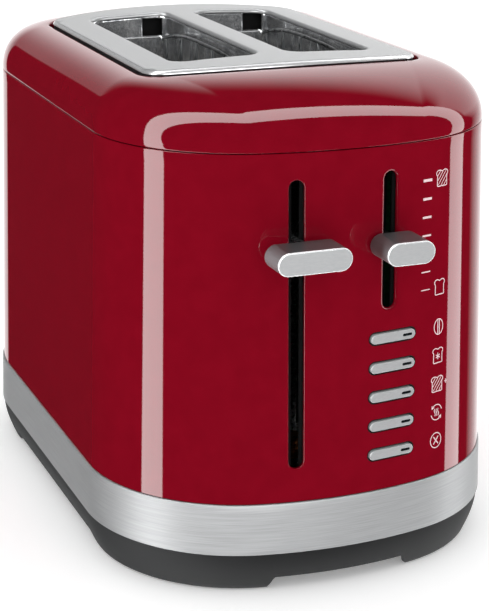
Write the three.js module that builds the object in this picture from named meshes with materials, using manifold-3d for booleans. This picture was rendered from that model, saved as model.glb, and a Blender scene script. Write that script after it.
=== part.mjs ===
// A two-slot pop-up toaster, built as the pieces that come apart on a bench.
// Units are millimetres, +Z is up. The controls are on the front, which faces -Y, and the crumb tray
// comes out of the back. The origin is the centre of the footprint, on the table.
import * as THREE from "three";
import { mergeVertices } from "three/addons/utils/BufferGeometryUtils.js";
import Module from "manifold-3d";

const wasm = await Module();
wasm.setup();

// ---------------------------------------------------------------- driving dimensions
const GAP = 0.3; // air left between pieces that touch on the real toaster

// Body: walls lean inwards going up, the two ends are bowed in plan, the sides are flat.
const BODY_WIDTH = 172;
const BODY_LENGTH = 265;
const END_RADIUS = 159; // plan radius of the bowed front and back
const CORNER_RADIUS = 65;
const DRAFT = 0.03; // inward lean per millimetre of height
const SHELL_WALL = 1.6;
const FOOT_HEIGHT = 5.5; // clear height under the base between the feet
const BAND_BOTTOM = 17;
const BAND_TOP = 38;
const SEAM = 175.5; // joint between body shell and top cap
const BAND_PROUD = 0.6;
const BAND_WALL = 1.2;
const BASE_WALL = 2;
const ARCH_HALF_WIDTH = 30; // front and back arches, half way up their sloped ends
const ARCH_HALF_LENGTH = 60; // side arches
const ARCH_SLOPE = 5;
const BASE_TUCK = 4.5; // how far the foot of the base is tucked in under the band

// Top plate and its two bread slots.
const PLATE_END_RADIUS = 156;
const PLATE_CORNER_RADIUS = 12;
const PLATE_CENTRE_Y = 3;
const PLATE_TOP = 199.6; // height of the plate along its middle
const PLATE_CROWN = 2.4; // drop of the plate from its middle to its side edges
const PLATE_SHEET = 1;
const PLATE_SKIRT = 4.5;
const PLATE_MARGIN = 1.8; // open groove between top cap and top plate
const SLOT_CENTRE_X = 24.6;
const SLOT_WIDTH = 37;
const SLOT_LENGTH = 118;
const SLOT_CENTRE_Y = 5;
const SLOT_CORNER_RADIUS = 7;
const PLATE_SIDE_BORDER = 15.4; // from a slot's outer wall to the side of the plate
const PLATE_END_BORDER = 22; // from the end of a slot to the end of the plate
const PLATE_HALF_WIDTH = SLOT_CENTRE_X + SLOT_WIDTH / 2 + PLATE_SIDE_BORDER;
const PLATE_HALF_LENGTH = SLOT_LENGTH / 2 + PLATE_END_BORDER;
const SLOT_LIP = 6;
const LINER_SHEET = 0.6;
const LINER_DEPTH = 26.6; // from the top of the plate to the bottom of a liner
const LINER_LOW = PLATE_TOP - LINER_DEPTH;
const LINER_NOTCH = [7.5, 16.5]; // opening at the top of the liner's far end, from the slot's middle
const CAP_WALL = 1.6;
const CAP_LIP_DEPTH = 10.1; // from the top of the plate to the foot of the cap's downturned edge

// Controls on the front.
const LIFT_X = -20.9;
const LIFT_SLOT_WIDTH = 6;
const LIFT_SLOT_LOW = 51.7;
const LIFT_SLOT_HIGH = 164.9;
const LIFT_REST_Z = 138.9;
const LIFT_DOWN = 82.5;
const LIFT_UP = 21.5;
const LIFT_KNOB_WIDTH = 29.8;
const LIFT_KNOB_STAND_OFF = 4.3; // clears the wall, which comes forward lower down
const BROWN_X = 17.8;
const BROWN_SLOT_WIDTH = 5.6;
const BROWN_SLOT_LOW = 112.1;
const BROWN_SLOT_HIGH = 165.5;
const BROWN_REST_Z = 138.4;
const BROWN_KNOB_WIDTH = 19.8;
const BROWN_KNOB_STAND_OFF = 2.2;
const KNOB_HEIGHT = 9;
const KNOB_REACH = 17.8; // from the face of the body to the face of the knob
const KNOB_BEVEL = 0.7;
const BUTTON_X = 19.5;
const BUTTON_WIDTH = 20.9;
const BUTTON_HEIGHT = 4.8;
const BUTTON_TOP_Z = 100.5;
const BUTTON_PITCH = 11.86;
const BUTTON_PROUD = 1;
const BUTTON_DEPTH = 6;
const BUTTON_TRAVEL = 1.2;
const BUTTON_CLEARANCE = 0.35;
const BUTTON_NAMES = ["bagel", "frozen", "extra_time", "reheat", "cancel"];
const LAMP_WIDTH = 4.2;
const LAMP_HEIGHT = 1;
const LAMP_DEPTH = 3;
const LAMP_OFFSET = 6.4; // from the middle of the button

// Toasting chamber, set round the slots and hung under the plate.
const END_PLATE = 0.8;
const FRONT_PLATE_CLEARANCE = 4; // from the front end of a slot to the front end plate
const REAR_PLATE_CLEARANCE = 3;
const FRONT_PLATE_Y = SLOT_CENTRE_Y - SLOT_LENGTH / 2 - FRONT_PLATE_CLEARANCE;
const REAR_PLATE_Y = SLOT_CENTRE_Y + SLOT_LENGTH / 2 + REAR_PLATE_CLEARANCE;
const CHAMBER_CLEARANCE = 0.7; // from the plate's skirt down to the end plates
const CHAMBER_HIGH = PLATE_TOP - PLATE_CROWN - PLATE_SKIRT - CHAMBER_CLEARANCE;
const CHAMBER_LOW = 40;
const CARD_THICK = 0.8;
const CARD_LOW = 64;
const CARD_DROP = 10; // from the top of the end plates to the top of a card
const CARD_HIGH = CHAMBER_HIGH - CARD_DROP;
const CARD_END_CLEARANCE = 3;
const CARD_CLEARANCE = 5.5; // from a slot's outer wall to the outer card
const CARD_OUTER_X = SLOT_CENTRE_X + SLOT_WIDTH / 2 + CARD_CLEARANCE;
const RIBBON_THICK = 0.4;
const RIBBON_WIDTH = 1.2;
const RIBBON_TURNS = 9;
const RIBBON_MARGIN = 8; // from the ends of a card to the first and last turn
const SHIELD_CLEARANCE = 4;
const SHIELD_X = CARD_OUTER_X + SHIELD_CLEARANCE;
const SHIELD_THICK = 0.5;
const END_PLATE_MARGIN = 2; // end plates past the shields
const CHAMBER_HALF_WIDTH = SHIELD_X + SHIELD_THICK + END_PLATE_MARGIN;
const GUIDE_WIRE = 1.6;
const GUIDE_WALL_CLEARANCE = 2.5; // from a slot's wall to the middle of a guide, at rest
const GUIDE_OFFSET = SLOT_WIDTH / 2 - GUIDE_WALL_CLEARANCE;
const GUIDE_LOW = 60;
const GUIDE_HIGH = CHAMBER_HIGH + 2;
const GUIDE_END_CLEARANCE = 5; // from the end of a slot to the end of a guide's top rail
const GUIDE_END_DROP = 6; // how far the top rail of a guide comes down at its ends
const GUIDE_UPRIGHTS = 6;
const RACK_WIDTH = 11;
const RACK_THICK = 1.2;
const RACK_TOOTH = 3;
const RACK_REST_Z = 146;
const RACK_TEETH = 9;
const TAIL_WIDTH = 2.6;
const WINDOW_WIDTH = 14;

// Lift mechanism in front of the chamber.
const CARRIAGE_CLEARANCE = 5; // from the front end plate to the carriage's beam
const CARRIAGE_BACK = FRONT_PLATE_Y - CARRIAGE_CLEARANCE;
const BEAM_THICK = 3;
const ROD_OFFSET = 11; // from the back of the carriage to the rod
const ROD_Y = CARRIAGE_BACK - ROD_OFFSET;
const ROD_RADIUS = 2.5;
const ROD_CLEARANCE = 0.4;
const BOSS_WALL = 3.5;
const ARM_THICK = 3;
const ARM_HEIGHT = 8;
const CARRIAGE_HALF_WIDTH = 30;
const CARRIAGE_HEIGHT = 14;
const CARRIAGE_DROP = 10; // from the racks down to the bottom of the carriage
const CARRIAGE_LOW = RACK_REST_Z - CARRIAGE_DROP;
const CARRIAGE_HIGH = CARRIAGE_LOW + CARRIAGE_HEIGHT;
const BRACKET_DROP = 7; // from the top of the end plates to the bracket's shelf
const SPRING_X = 10;
const SPRING_RADIUS = 3.4;
const SPRING_WIRE = 0.9;
const SPRING_TURNS = 9;
const MAGNET_X = -9;
const MAGNET_OFFSET = 14; // from the rod to the magnet
const MAGNET_Y = ROD_Y - MAGNET_OFFSET;
const MAGNET_RADIUS = 7;
const CORE_RADIUS = 3;

// Control board behind the front face.
const BOARD_SETBACK = 26.5; // from the middle of the front to the board
const BOARD_Y = -BODY_LENGTH / 2 + BOARD_SETBACK;
const BOARD_THICK = 1.6;
const BOARD_LEFT = 4;
const BOARD_RIGHT = 52;
const BOARD_LOW = 44;
const BOARD_HIGH = 169;
const BOARD_FACE = BOARD_Y - GAP;
const SWITCH_DEPTH = 4;
const SWITCH_FACE = BOARD_FACE - SWITCH_DEPTH; // front of the switches that the buttons press
const TRACK_WIDTH = 10;
const TRACK_DEPTH = 6;
const STEM_WIDTH = 3;
const STEM_HEIGHT = 5;
const STEM_CLEARANCE = 0.5;

// Crumb tray and base fittings.
const TRAY_MARGIN = 5; // the tray is narrower than the chamber by this, each side
const TRAY_WIDTH = 2 * (CHAMBER_HALF_WIDTH - TRAY_MARGIN);
const TRAY_DEEP = 7;
const TRAY_SHEET = 0.8;
const TRAY_FLOOR = 23;
const TRAY_FRONT_Y = FRONT_PLATE_Y - 12;
const TRAY_BACK_Y = BODY_LENGTH / 2 - 14;
const RAIL_CLEARANCE = 0.8;
const RAIL_WALL = 3;
const RAIL_LEDGE = 4;
const PULL_MARGIN = 6; // the pull is wider than the tray by this, each side
const PULL_WIDTH = TRAY_WIDTH + 2 * PULL_MARGIN;
const PULL_HEIGHT = 13;
const PULL_Z = 27.5;
const PULL_THICK = 2.2;
const GLAND_X = 46;
const GLAND_Z = 12;
const GLAND_RADIUS = 3.5;
const GLAND_FLANGE = 0.7;
const CORD_RADIUS = 2.4;
const PAD_X = 52;
const PAD_Y = 92;
const PAD_RADIUS = 8;
const PAD_THICK = 2.4;
const SCREW_X = 34;
const SCREW_Y = 78;
const SCREW_HEAD_RADIUS = 3.4;
const SCREW_RADIUS = 2;

// ---------------------------------------------------------------- materials
const material = (color, roughness, metalness) =>
  new THREE.MeshStandardMaterial({ color, roughness, metalness });
const redEnamel = material(0x8c0014, 0.12, 0.1);
const brushedSteel = material(0xc4c5c6, 0.35, 1);
const brightSteel = material(0xb0b2b4, 0.25, 1);
const satinAluminium = material(0xb9babb, 0.4, 1);
const greyPlastic = material(0x414243, 0.6, 0);
const blackPlastic = material(0x141414, 0.5, 0);
const rubber = material(0x2a2a2a, 0.9, 0);
const mica = material(0xb9ad93, 0.7, 0);
const nichrome = material(0x6d6a66, 0.5, 1);
const boardGreen = material(0x1f5a35, 0.5, 0);
const copper = material(0xb06a3a, 0.4, 1);
const smokedLens = material(0x20282c, 0.15, 0);

// ---------------------------------------------------------------- solids
// A closed geometry as a manifold-3d solid.
function solid(geometry) {
  const bare = geometry.clone();
  bare.deleteAttribute("normal");
  bare.deleteAttribute("uv");
  const merged = mergeVertices(bare, 1e-4);
  return new wasm.Manifold(
    new wasm.Mesh({
      numProp: 3,
      vertProperties: merged.attributes.position.array,
      triVerts: new Uint32Array(merged.index.array),
    }),
  );
}

const join = (first, ...rest) => rest.reduce((sum, s) => sum.add(s), first);
const cut = (first, ...rest) => rest.reduce((left, s) => left.subtract(s), first);

function geometryOf(body) {
  const mesh = body.getMesh();
  const geometry = new THREE.BufferGeometry();
  geometry.setAttribute("position", new THREE.BufferAttribute(mesh.vertProperties, 3));
  geometry.setIndex(new THREE.BufferAttribute(mesh.triVerts, 1));
  const flat = geometry.toNonIndexed();
  flat.computeVertexNormals();
  return flat;
}

// A box from its lowest corner to its highest.
function box(low, high) {
  const [size, centre] = [0, 1].map((k) =>
    low.map((v, i) => (k ? (v + high[i]) / 2 : high[i] - v)),
  );
  return solid(new THREE.BoxGeometry(...size).translate(...centre));
}

// A round bar from a to b.
function bar(a, b, radius, sides = 8) {
  const from = new THREE.Vector3(...a);
  const along = new THREE.Vector3(...b).sub(from);
  const geometry = new THREE.CylinderGeometry(radius, radius, along.length(), sides);
  const turn = new THREE.Quaternion().setFromUnitVectors(
    new THREE.Vector3(0, 1, 0),
    along.clone().normalize(),
  );
  const middle = from.addScaledVector(along, 0.5);
  return solid(geometry.applyQuaternion(turn).translate(middle.x, middle.y, middle.z));
}

// A flat shape in plan, raised from low to high.
function prism(shape, low, high, segments = 6) {
  const settings = { depth: high - low, bevelEnabled: false, curveSegments: segments };
  return solid(new THREE.ExtrudeGeometry(shape, settings).translate(0, 0, low));
}

// A closed skin through a stack of rings that all have the same number of [x, y, z] points,
// listed anticlockwise from above and from the lowest ring to the highest.
function loft(rings) {
  const count = rings[0].length;
  const points = rings.flat(2);
  const faces = [];
  for (let r = 0; r + 1 < rings.length; r++)
    for (let i = 0; i < count; i++) {
      const a = r * count + i;
      const b = r * count + ((i + 1) % count);
      faces.push(a, b, b + count, a, b + count, a + count);
    }
  const top = (rings.length - 1) * count;
  for (let i = 1; i + 1 < count; i++)
    faces.push(0, i + 1, i, top, top + i, top + i + 1);
  const geometry = new THREE.BufferGeometry();
  geometry.setAttribute("position", new THREE.Float32BufferAttribute(points, 3));
  geometry.setIndex(faces);
  return solid(geometry);
}

// ---------------------------------------------------------------- plan outlines
// A rectangle with bowed ends: each end is one arc, each corner a tighter one, each side straight.
// The list runs anticlockwise from the middle of the front, and every outline has as many points.
const END_STEPS = 5;
const CORNER_STEPS = 8;

function bowedOutline(halfWidth, halfLength, endRadius, cornerRadius, centreY = 0) {
  const cornerX = halfWidth - cornerRadius;
  const reach = endRadius - cornerRadius;
  const cornerY = endRadius - halfLength - Math.sqrt(reach ** 2 - cornerX ** 2);
  const sweep = Math.atan2(cornerX, endRadius - halfLength - cornerY);
  const quarter = [];
  for (let i = 0; i <= END_STEPS; i++) {
    const a = (sweep * i) / END_STEPS;
    const y = endRadius - halfLength - endRadius * Math.cos(a);
    quarter.push([endRadius * Math.sin(a), y]);
  }
  for (let i = 1; i <= CORNER_STEPS; i++) {
    const a = sweep + ((Math.PI / 2 - sweep) * i) / CORNER_STEPS;
    quarter.push([
      cornerX + cornerRadius * Math.sin(a),
      cornerY - cornerRadius * Math.cos(a),
    ]);
  }
  const back = quarter.map(([x, y]) => [x, -y]).reverse();
  const right = [...quarter, ...back];
  const left = right.slice(1, -1).map(([x, y]) => [-x, y]).reverse();
  return [...right, ...left].map(([x, y]) => [x, y + centreY]);
}

// The body's outline at a height, moved inwards by inset.
function bodyOutline(z, inset = 0) {
  const move = DRAFT * z + inset;
  return bowedOutline(
    BODY_WIDTH / 2 - move,
    BODY_LENGTH / 2 - move,
    END_RADIUS - move,
    CORNER_RADIUS - move,
  );
}

// The top plate's outline, moved outwards by grow.
const plateOutline = (grow = 0) =>
  bowedOutline(
    PLATE_HALF_WIDTH + grow,
    PLATE_HALF_LENGTH + grow,
    PLATE_END_RADIUS + grow,
    PLATE_CORNER_RADIUS + grow,
    PLATE_CENTRE_Y,
  );

const at = (outline, z) => outline.map(([x, y]) => [x, y, z]);

// A block that follows the body's leaning walls between two heights.
const bodyBlock = (low, high, inset = 0) =>
  loft([at(bodyOutline(low, inset), low), at(bodyOutline(high, inset), high)]);

// Where the front face is, at a place across it and a height.
function faceY(x, z) {
  const radius = END_RADIUS - DRAFT * z;
  const nose = -BODY_LENGTH / 2 + DRAFT * z;
  return nose + radius - Math.sqrt(radius ** 2 - x ** 2);
}

// How far the front face turns away from straight ahead, in radians, at a place across it.
const faceTurn = (x, z) => Math.asin(x / (END_RADIUS - DRAFT * z));

// ---------------------------------------------------------------- small shapes
function stadium(width, height) {
  const r = height / 2;
  const half = width / 2 - r;
  const shape = new THREE.Shape();
  shape.moveTo(-half, -r);
  shape.lineTo(half, -r);
  shape.absarc(half, 0, r, -Math.PI / 2, Math.PI / 2, false);
  shape.lineTo(-half, r);
  shape.absarc(-half, 0, r, Math.PI / 2, (3 * Math.PI) / 2, false);
  return shape;
}

function roundedRectangle(width, length, radius) {
  const [x, y] = [width / 2 - radius, length / 2 - radius];
  const shape = new THREE.Shape();
  shape.absarc(x, -y, radius, -Math.PI / 2, 0, false);
  shape.absarc(x, y, radius, 0, Math.PI / 2, false);
  shape.absarc(-x, y, radius, Math.PI / 2, Math.PI, false);
  shape.absarc(-x, -y, radius, Math.PI, (3 * Math.PI) / 2, false);
  shape.closePath();
  return shape;
}

// A stadium pushed along +Y from front to back, with bevelled edges, standing at x and z.
function stadiumAlongY(width, height, front, back, { x = 0, z = 0, bevel = 0 } = {}) {
  const settings = {
    depth: back - front - 2 * bevel,
    bevelEnabled: bevel > 0,
    bevelThickness: bevel,
    bevelSize: bevel,
    bevelOffset: -bevel,
    bevelSegments: 2,
    curveSegments: 6,
  };
  const geometry = new THREE.ExtrudeGeometry(stadium(width, height), settings);
  return solid(geometry.rotateX(Math.PI / 2).translate(x, back - bevel, z));
}

// ---------------------------------------------------------------- assembly list
const toaster = new THREE.Group();
// The knobs reach out of the front and nothing sticks out of the back, so the body stands behind the
// origin by half of that.
const KNOB_FACE_Y =
  Math.min(faceY(LIFT_X, LIFT_REST_Z), faceY(BROWN_X, BROWN_REST_Z)) - KNOB_REACH;
const BACK_Y = BODY_LENGTH / 2 - DRAFT * BAND_BOTTOM + BAND_PROUD;
toaster.position.y = -(KNOB_FACE_Y + BACK_Y) / 2;

function add(name, body, look, parent = toaster) {
  const mesh = new THREE.Mesh(geometryOf(body), look);
  mesh.name = name;
  parent.add(mesh);
  return mesh;
}

// ---------------------------------------------------------------- body shell, band and base
function bodyShell() {
  const outside = bodyBlock(BAND_TOP + GAP, SEAM);
  const inside = bodyBlock(BAND_TOP - 1, SEAM + 1, SHELL_WALL);
  const reach = [-BODY_LENGTH / 2 - 5, -BODY_LENGTH / 2 + 25];
  const slot = (x, width, low, high) =>
    stadiumAlongY(high - low, width, ...reach).rotate([0, 90, 0]).translate([x, 0, (low + high) / 2]);
  const holes = BUTTON_NAMES.map((_, i) => buttonPlug(i, BUTTON_CLEARANCE, -8, 16));
  return cut(
    outside,
    inside,
    slot(LIFT_X, LIFT_SLOT_WIDTH, LIFT_SLOT_LOW, LIFT_SLOT_HIGH),
    slot(BROWN_X, BROWN_SLOT_WIDTH, BROWN_SLOT_LOW, BROWN_SLOT_HIGH),
    ...holes,
  );
}

function baseBand() {
  const ring = cut(
    bodyBlock(BAND_BOTTOM, BAND_TOP, -BAND_PROUD),
    bodyBlock(BAND_BOTTOM - 1, BAND_TOP + 1, BAND_WALL - BAND_PROUD),
  );
  return cut(ring, pullBlock(GAP));
}

// The block of space that the crumb tray's pull takes out of the band.
function pullBlock(grow) {
  const half = PULL_WIDTH / 2 + grow;
  const low = PULL_Z - PULL_HEIGHT / 2 - grow;
  const high = PULL_Z + PULL_HEIGHT / 2 + grow;
  return box([-half, BODY_LENGTH / 2 - 40, low], [half, BODY_LENGTH / 2 + 10, high]);
}

function base() {
  const rim = BAND_BOTTOM - GAP;
  const foot = BASE_TUCK + DRAFT * rim;
  const steps = [0.25, 0.55, 0.8, 1];
  const rings = [
    at(bodyOutline(0, foot), 0.5),
    ...steps.map((s) => {
      const z = 0.5 + (rim - 0.5) * s;
      return at(bodyOutline(0, foot - (foot - DRAFT * rim) * Math.sin((s * Math.PI) / 2)), z);
    }),
  ];
  const floor = FOOT_HEIGHT + BASE_WALL;
  const inside = loft([
    at(bodyOutline(0, foot + BASE_WALL), floor),
    at(bodyOutline(0, BASE_WALL + DRAFT * rim), rim + 1),
  ]);
  // Low arches between the feet, on all four sides.
  const far = BODY_LENGTH;
  const arches = [arch(ARCH_HALF_WIDTH, far), arch(ARCH_HALF_LENGTH, far).rotate([0, 0, 90])];
  const gland = bar([GLAND_X, 80, GLAND_Z], [GLAND_X, far, GLAND_Z], GLAND_RADIUS + GAP, 16);
  const pads = corners(PAD_X, PAD_Y).map(([x, y]) =>
    bar([x, y, -1], [x, y, PAD_THICK + GAP], PAD_RADIUS + GAP, 16),
  );
  const screws = corners(SCREW_X, SCREW_Y).flatMap(([x, y]) => [
    bar([x, y, 0], [x, y, floor + 1], SCREW_RADIUS + GAP, 8),
    bar([x, y, -1], [x, y, FOOT_HEIGHT], SCREW_HEAD_RADIUS + GAP, 12),
  ]);
  return cut(loft(rings), inside, ...arches, gland, ...pads, ...screws);
}

// A long low tunnel along Y, wider at its foot than at its roof.
function arch(half, far) {
  const level = (reach, z) => [
    [-reach, -far, z],
    [reach, -far, z],
    [reach, far, z],
    [-reach, far, z],
  ];
  const slope = ARCH_SLOPE / FOOT_HEIGHT;
  const middle = FOOT_HEIGHT / 2;
  return loft([
    level(half + slope * (middle + 1), -1),
    level(half - slope * middle, FOOT_HEIGHT),
  ]);
}

const corners = (x, y) => [
  [-x, -y],
  [x, -y],
  [x, y],
  [-x, y],
];

// ---------------------------------------------------------------- top cap and plate
// Height of the crowned top at a place across it, below its middle by drop.
const crownZ = (x, drop = 0) =>
  PLATE_TOP - drop - PLATE_CROWN * (Math.abs(x) / PLATE_HALF_WIDTH) ** 2;

// Everything under the crowned top, down to a height.
function underCrown(low, drop) {
  const shape = new THREE.Shape();
  const half = PLATE_HALF_WIDTH + 6;
  const steps = 12;
  shape.moveTo(-half, low);
  shape.lineTo(half, low);
  for (let i = 0; i <= steps; i++) {
    const x = half - (2 * half * i) / steps;
    shape.lineTo(x, crownZ(x, drop));
  }
  const length = 2 * BODY_LENGTH;
  const settings = { depth: length, bevelEnabled: false };
  const geometry = new THREE.ExtrudeGeometry(shape, settings);
  return solid(geometry.rotateX(Math.PI / 2).translate(0, length / 2, 0));
}

// A domed block: it rises straight up from the seam and rolls over to lie flat at the groove.
function dome(inset) {
  const steps = 9;
  const rings = [];
  const foot = bodyOutline(SEAM, inset);
  const rim = plateOutline(PLATE_MARGIN);
  for (let s = 0; s <= steps; s++) {
    const a = (Math.PI / 2) * (s / steps);
    const inward = 1 - Math.cos(a);
    const upward = Math.sin(a);
    rings.push(
      foot.map(([x, y], i) => {
        const rimZ = crownZ(rim[i][0], 1.4 + inset);
        return [
          x + (rim[i][0] - x) * inward,
          y + (rim[i][1] - y) * inward,
          SEAM + GAP + (rimZ - SEAM - GAP) * upward,
        ];
      }),
    );
  }
  return loft(rings);
}

function topCap() {
  const opening = loft([
    at(plateOutline(PLATE_MARGIN), SEAM - 5),
    at(plateOutline(PLATE_MARGIN), PLATE_TOP + 5),
  ]);
  const lipLow = PLATE_TOP - CAP_LIP_DEPTH;
  const collar = loft([
    at(plateOutline(PLATE_MARGIN + CAP_WALL), lipLow),
    at(plateOutline(PLATE_MARGIN + CAP_WALL), PLATE_TOP + 5),
  ]);
  const lip = collar.intersect(dome(0)).intersect(underCrown(lipLow, 0));
  const shell = cut(dome(0), dome(CAP_WALL), bodyBlock(SEAM - 5, SEAM + GAP + 0.2, CAP_WALL));
  return cut(join(shell, lip), opening);
}

const slotCentres = [-SLOT_CENTRE_X, SLOT_CENTRE_X];

function slotBlock(x, grow, low, high) {
  const shape = roundedRectangle(
    SLOT_WIDTH + 2 * grow,
    SLOT_LENGTH + 2 * grow,
    SLOT_CORNER_RADIUS + grow,
  );
  return prism(shape, low, high, 4).translate([x, SLOT_CENTRE_Y, 0]);
}

function topPlate() {
  const low = PLATE_TOP - PLATE_CROWN - PLATE_SKIRT;
  const whole = loft([at(plateOutline(), low), at(plateOutline(), PLATE_TOP + 1)]);
  const hollow = loft([
    at(plateOutline(-PLATE_SHEET), low - 1),
    at(plateOutline(-PLATE_SHEET), PLATE_TOP + 1),
  ]).intersect(underCrown(low - 1, PLATE_SHEET));
  const lips = slotCentres.map((x) =>
    slotBlock(x, PLATE_SHEET, PLATE_TOP - SLOT_LIP, PLATE_TOP + 1),
  );
  const crown = underCrown(low, 0);
  const pressed = join(cut(whole.intersect(crown), hollow), ...lips.map((l) => l.intersect(crown)));
  return cut(pressed, ...slotCentres.map((x) => slotBlock(x, 0, low - 10, PLATE_TOP + 5)));
}

// A bright sleeve that carries a slot's walls on down below the plate's lip.
function slotLiner(x) {
  const high = PLATE_TOP - SLOT_LIP - GAP;
  const sleeve = cut(
    slotBlock(x, LINER_SHEET, LINER_LOW, high),
    slotBlock(x, 0, LINER_LOW - 1, high + 1),
  );
  const back = SLOT_CENTRE_Y + SLOT_LENGTH / 2;
  const notch = box(
    [x + LINER_NOTCH[0], back - 3, high - 6],
    [x + LINER_NOTCH[1], back + 3, high + 1],
  );
  return cut(sleeve, notch);
}

// ---------------------------------------------------------------- controls
// The space of button i, in the wall's own direction: grow widens it, and it runs from front to back,
// measured inwards from the face of the body.
function buttonPlug(i, grow, front, back, bevel = 0) {
  const z = BUTTON_TOP_Z - i * BUTTON_PITCH;
  const plug = stadiumAlongY(BUTTON_WIDTH + 2 * grow, BUTTON_HEIGHT + 2 * grow, front, back, {
    bevel,
  });
  return onFace(plug, BUTTON_X, z);
}

// Turns a solid made about the origin, facing -Y, square to the front face and moves it there.
const onFace = (body, x, z) =>
  body.rotate([0, 0, THREE.MathUtils.radToDeg(faceTurn(x, z))]).translate([x, faceY(x, z), z]);

function button(i) {
  const z = BUTTON_TOP_Z - i * BUTTON_PITCH;
  const cap = buttonPlug(i, 0, -BUTTON_PROUD, BUTTON_DEPTH, 0.4);
  const plunger = bar(
    [BUTTON_X, faceY(BUTTON_X, z) + BUTTON_DEPTH - 1, z],
    [BUTTON_X, SWITCH_FACE - BUTTON_TRAVEL - GAP, z],
    1.6,
  );
  return cut(join(cap, plunger), lamp(i, GAP, LAMP_DEPTH + GAP, -5));
}

function lamp(i, grow = 0, depth = LAMP_DEPTH, front = -BUTTON_PROUD + 0.1) {
  const z = BUTTON_TOP_Z - i * BUTTON_PITCH;
  const lens = stadiumAlongY(LAMP_WIDTH + 2 * grow, LAMP_HEIGHT + 2 * grow, front, depth, {
    x: LAMP_OFFSET,
  });
  return onFace(lens, BUTTON_X, z);
}

function knob(x, z, width, standOff) {
  const face = faceY(x, z);
  return stadiumAlongY(width, KNOB_HEIGHT, face - KNOB_REACH, face - standOff, {
    x,
    z,
    bevel: KNOB_BEVEL,
  });
}

// ---------------------------------------------------------------- toasting chamber
const CHAMBER_BACK = REAR_PLATE_Y - GAP;
const CHAMBER_FRONT = FRONT_PLATE_Y + END_PLATE + GAP;

function frontEndPlate() {
  const y = [FRONT_PLATE_Y, FRONT_PLATE_Y + END_PLATE];
  const plate = box(
    [-CHAMBER_HALF_WIDTH, y[0], CHAMBER_LOW],
    [CHAMBER_HALF_WIDTH, y[1], CHAMBER_HIGH],
  );
  const low = RACK_REST_Z - LIFT_DOWN - 3;
  const high = RACK_REST_Z + LIFT_UP + 4;
  const slots = slotCentres.map((x) => box([x - 4, y[0] - 1, low], [x + 4, y[1] + 1, high]));
  return cut(plate, ...slots);
}

function rearEndPlate() {
  const y = [REAR_PLATE_Y, REAR_PLATE_Y + END_PLATE];
  const plate = box(
    [-CHAMBER_HALF_WIDTH, y[0], CHAMBER_LOW],
    [CHAMBER_HALF_WIDTH, y[1], CHAMBER_HIGH],
  );
  const low = RACK_REST_Z - LIFT_DOWN - 3;
  const high = CHAMBER_HIGH - 4;
  const windows = slotCentres.map((x) =>
    box([x + 2, y[0] - 1, low], [x + 2 + WINDOW_WIDTH, y[1] + 1, high]),
  );
  return cut(plate, ...windows);
}

function heatShield(side) {
  const [a, b] = [side * SHIELD_X, side * (SHIELD_X + SHIELD_THICK)].sort((p, q) => p - q);
  return box([a, CHAMBER_FRONT, CHAMBER_LOW + 4], [b, CHAMBER_BACK, CARD_HIGH + 4]);
}

const CARD_FRONT = CHAMBER_FRONT + CARD_END_CLEARANCE;
const CARD_BACK = CHAMBER_BACK - CARD_END_CLEARANCE;

const heaterCard = (x) =>
  box([x - CARD_THICK / 2, CARD_FRONT, CARD_LOW], [x + CARD_THICK / 2, CARD_BACK, CARD_HIGH]);

// A flat ribbon wound round a card from bottom to top: level along one face, round the back edge,
// and back along the other face one step higher. Each turn's parts bite into the next by BITE.
const RIBBON_BITE = 0.1;

function heaterRibbon(x) {
  const inner = CARD_THICK / 2 + GAP;
  const outer = inner + RIBBON_THICK;
  const [front, back] = [CARD_FRONT - GAP, CARD_BACK + GAP];
  const step = (CARD_HIGH - CARD_LOW - 2 * RIBBON_MARGIN) / (2 * RIBBON_TURNS);
  const half = RIBBON_WIDTH / 2;
  const parts = [];
  for (let i = 0; i <= 2 * RIBBON_TURNS; i++) {
    const z = CARD_LOW + RIBBON_MARGIN + i * step;
    const side = i % 2 ? [-outer, -inner] : [inner, outer];
    const ends = [front - RIBBON_THICK, back + RIBBON_THICK];
    parts.push(box([side[0], ends[0], z - half], [side[1], ends[1], z + half]));
    if (i === 2 * RIBBON_TURNS) break;
    const edge = i % 2 ? [front - RIBBON_THICK, front] : [back, back + RIBBON_THICK];
    const reach = outer - RIBBON_BITE;
    const trim = half - RIBBON_BITE;
    parts.push(
      box(
        [-reach, edge[0] + RIBBON_BITE, z - trim],
        [reach, edge[1] - RIBBON_BITE, z + step + trim],
      ),
    );
  }
  return join(...parts).translate([x, 0, 0]);
}

// A bread guide: a bottom rail, a top rail that comes down at both ends, and upright wires.
function breadGuide(x) {
  const r = GUIDE_WIRE / 2;
  const half = SLOT_LENGTH / 2 - GUIDE_END_CLEARANCE;
  const middle = SLOT_CENTRE_Y;
  const [front, back] = [middle - half, middle + half];
  const railZ = (y) => GUIDE_HIGH - GUIDE_END_DROP * Math.abs((y - middle) / half) ** 3;
  const rail = [];
  for (let i = 0; i <= 10; i++) {
    const y = front + ((back - front) * i) / 10;
    rail.push(new THREE.Vector3(x, y, railZ(y)));
  }
  const section = new THREE.Shape();
  section.absarc(0, 0, r, 0, 2 * Math.PI, false);
  const settings = {
    steps: 20,
    curveSegments: 3,
    bevelEnabled: false,
    extrudePath: new THREE.CatmullRomCurve3(rail),
  };
  const parts = [
    solid(new THREE.ExtrudeGeometry(section, settings)),
    bar([x, CHAMBER_FRONT + 1, GUIDE_LOW], [x, CHAMBER_BACK - 1, GUIDE_LOW], r, 6),
  ];
  for (let i = 0; i < GUIDE_UPRIGHTS; i++) {
    const y = front + 4 + ((back - front - 8) * i) / (GUIDE_UPRIGHTS - 1);
    parts.push(bar([x, y, GUIDE_LOW], [x, y, railZ(y)], r * 0.9, 6));
  }
  return join(...parts);
}

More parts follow.
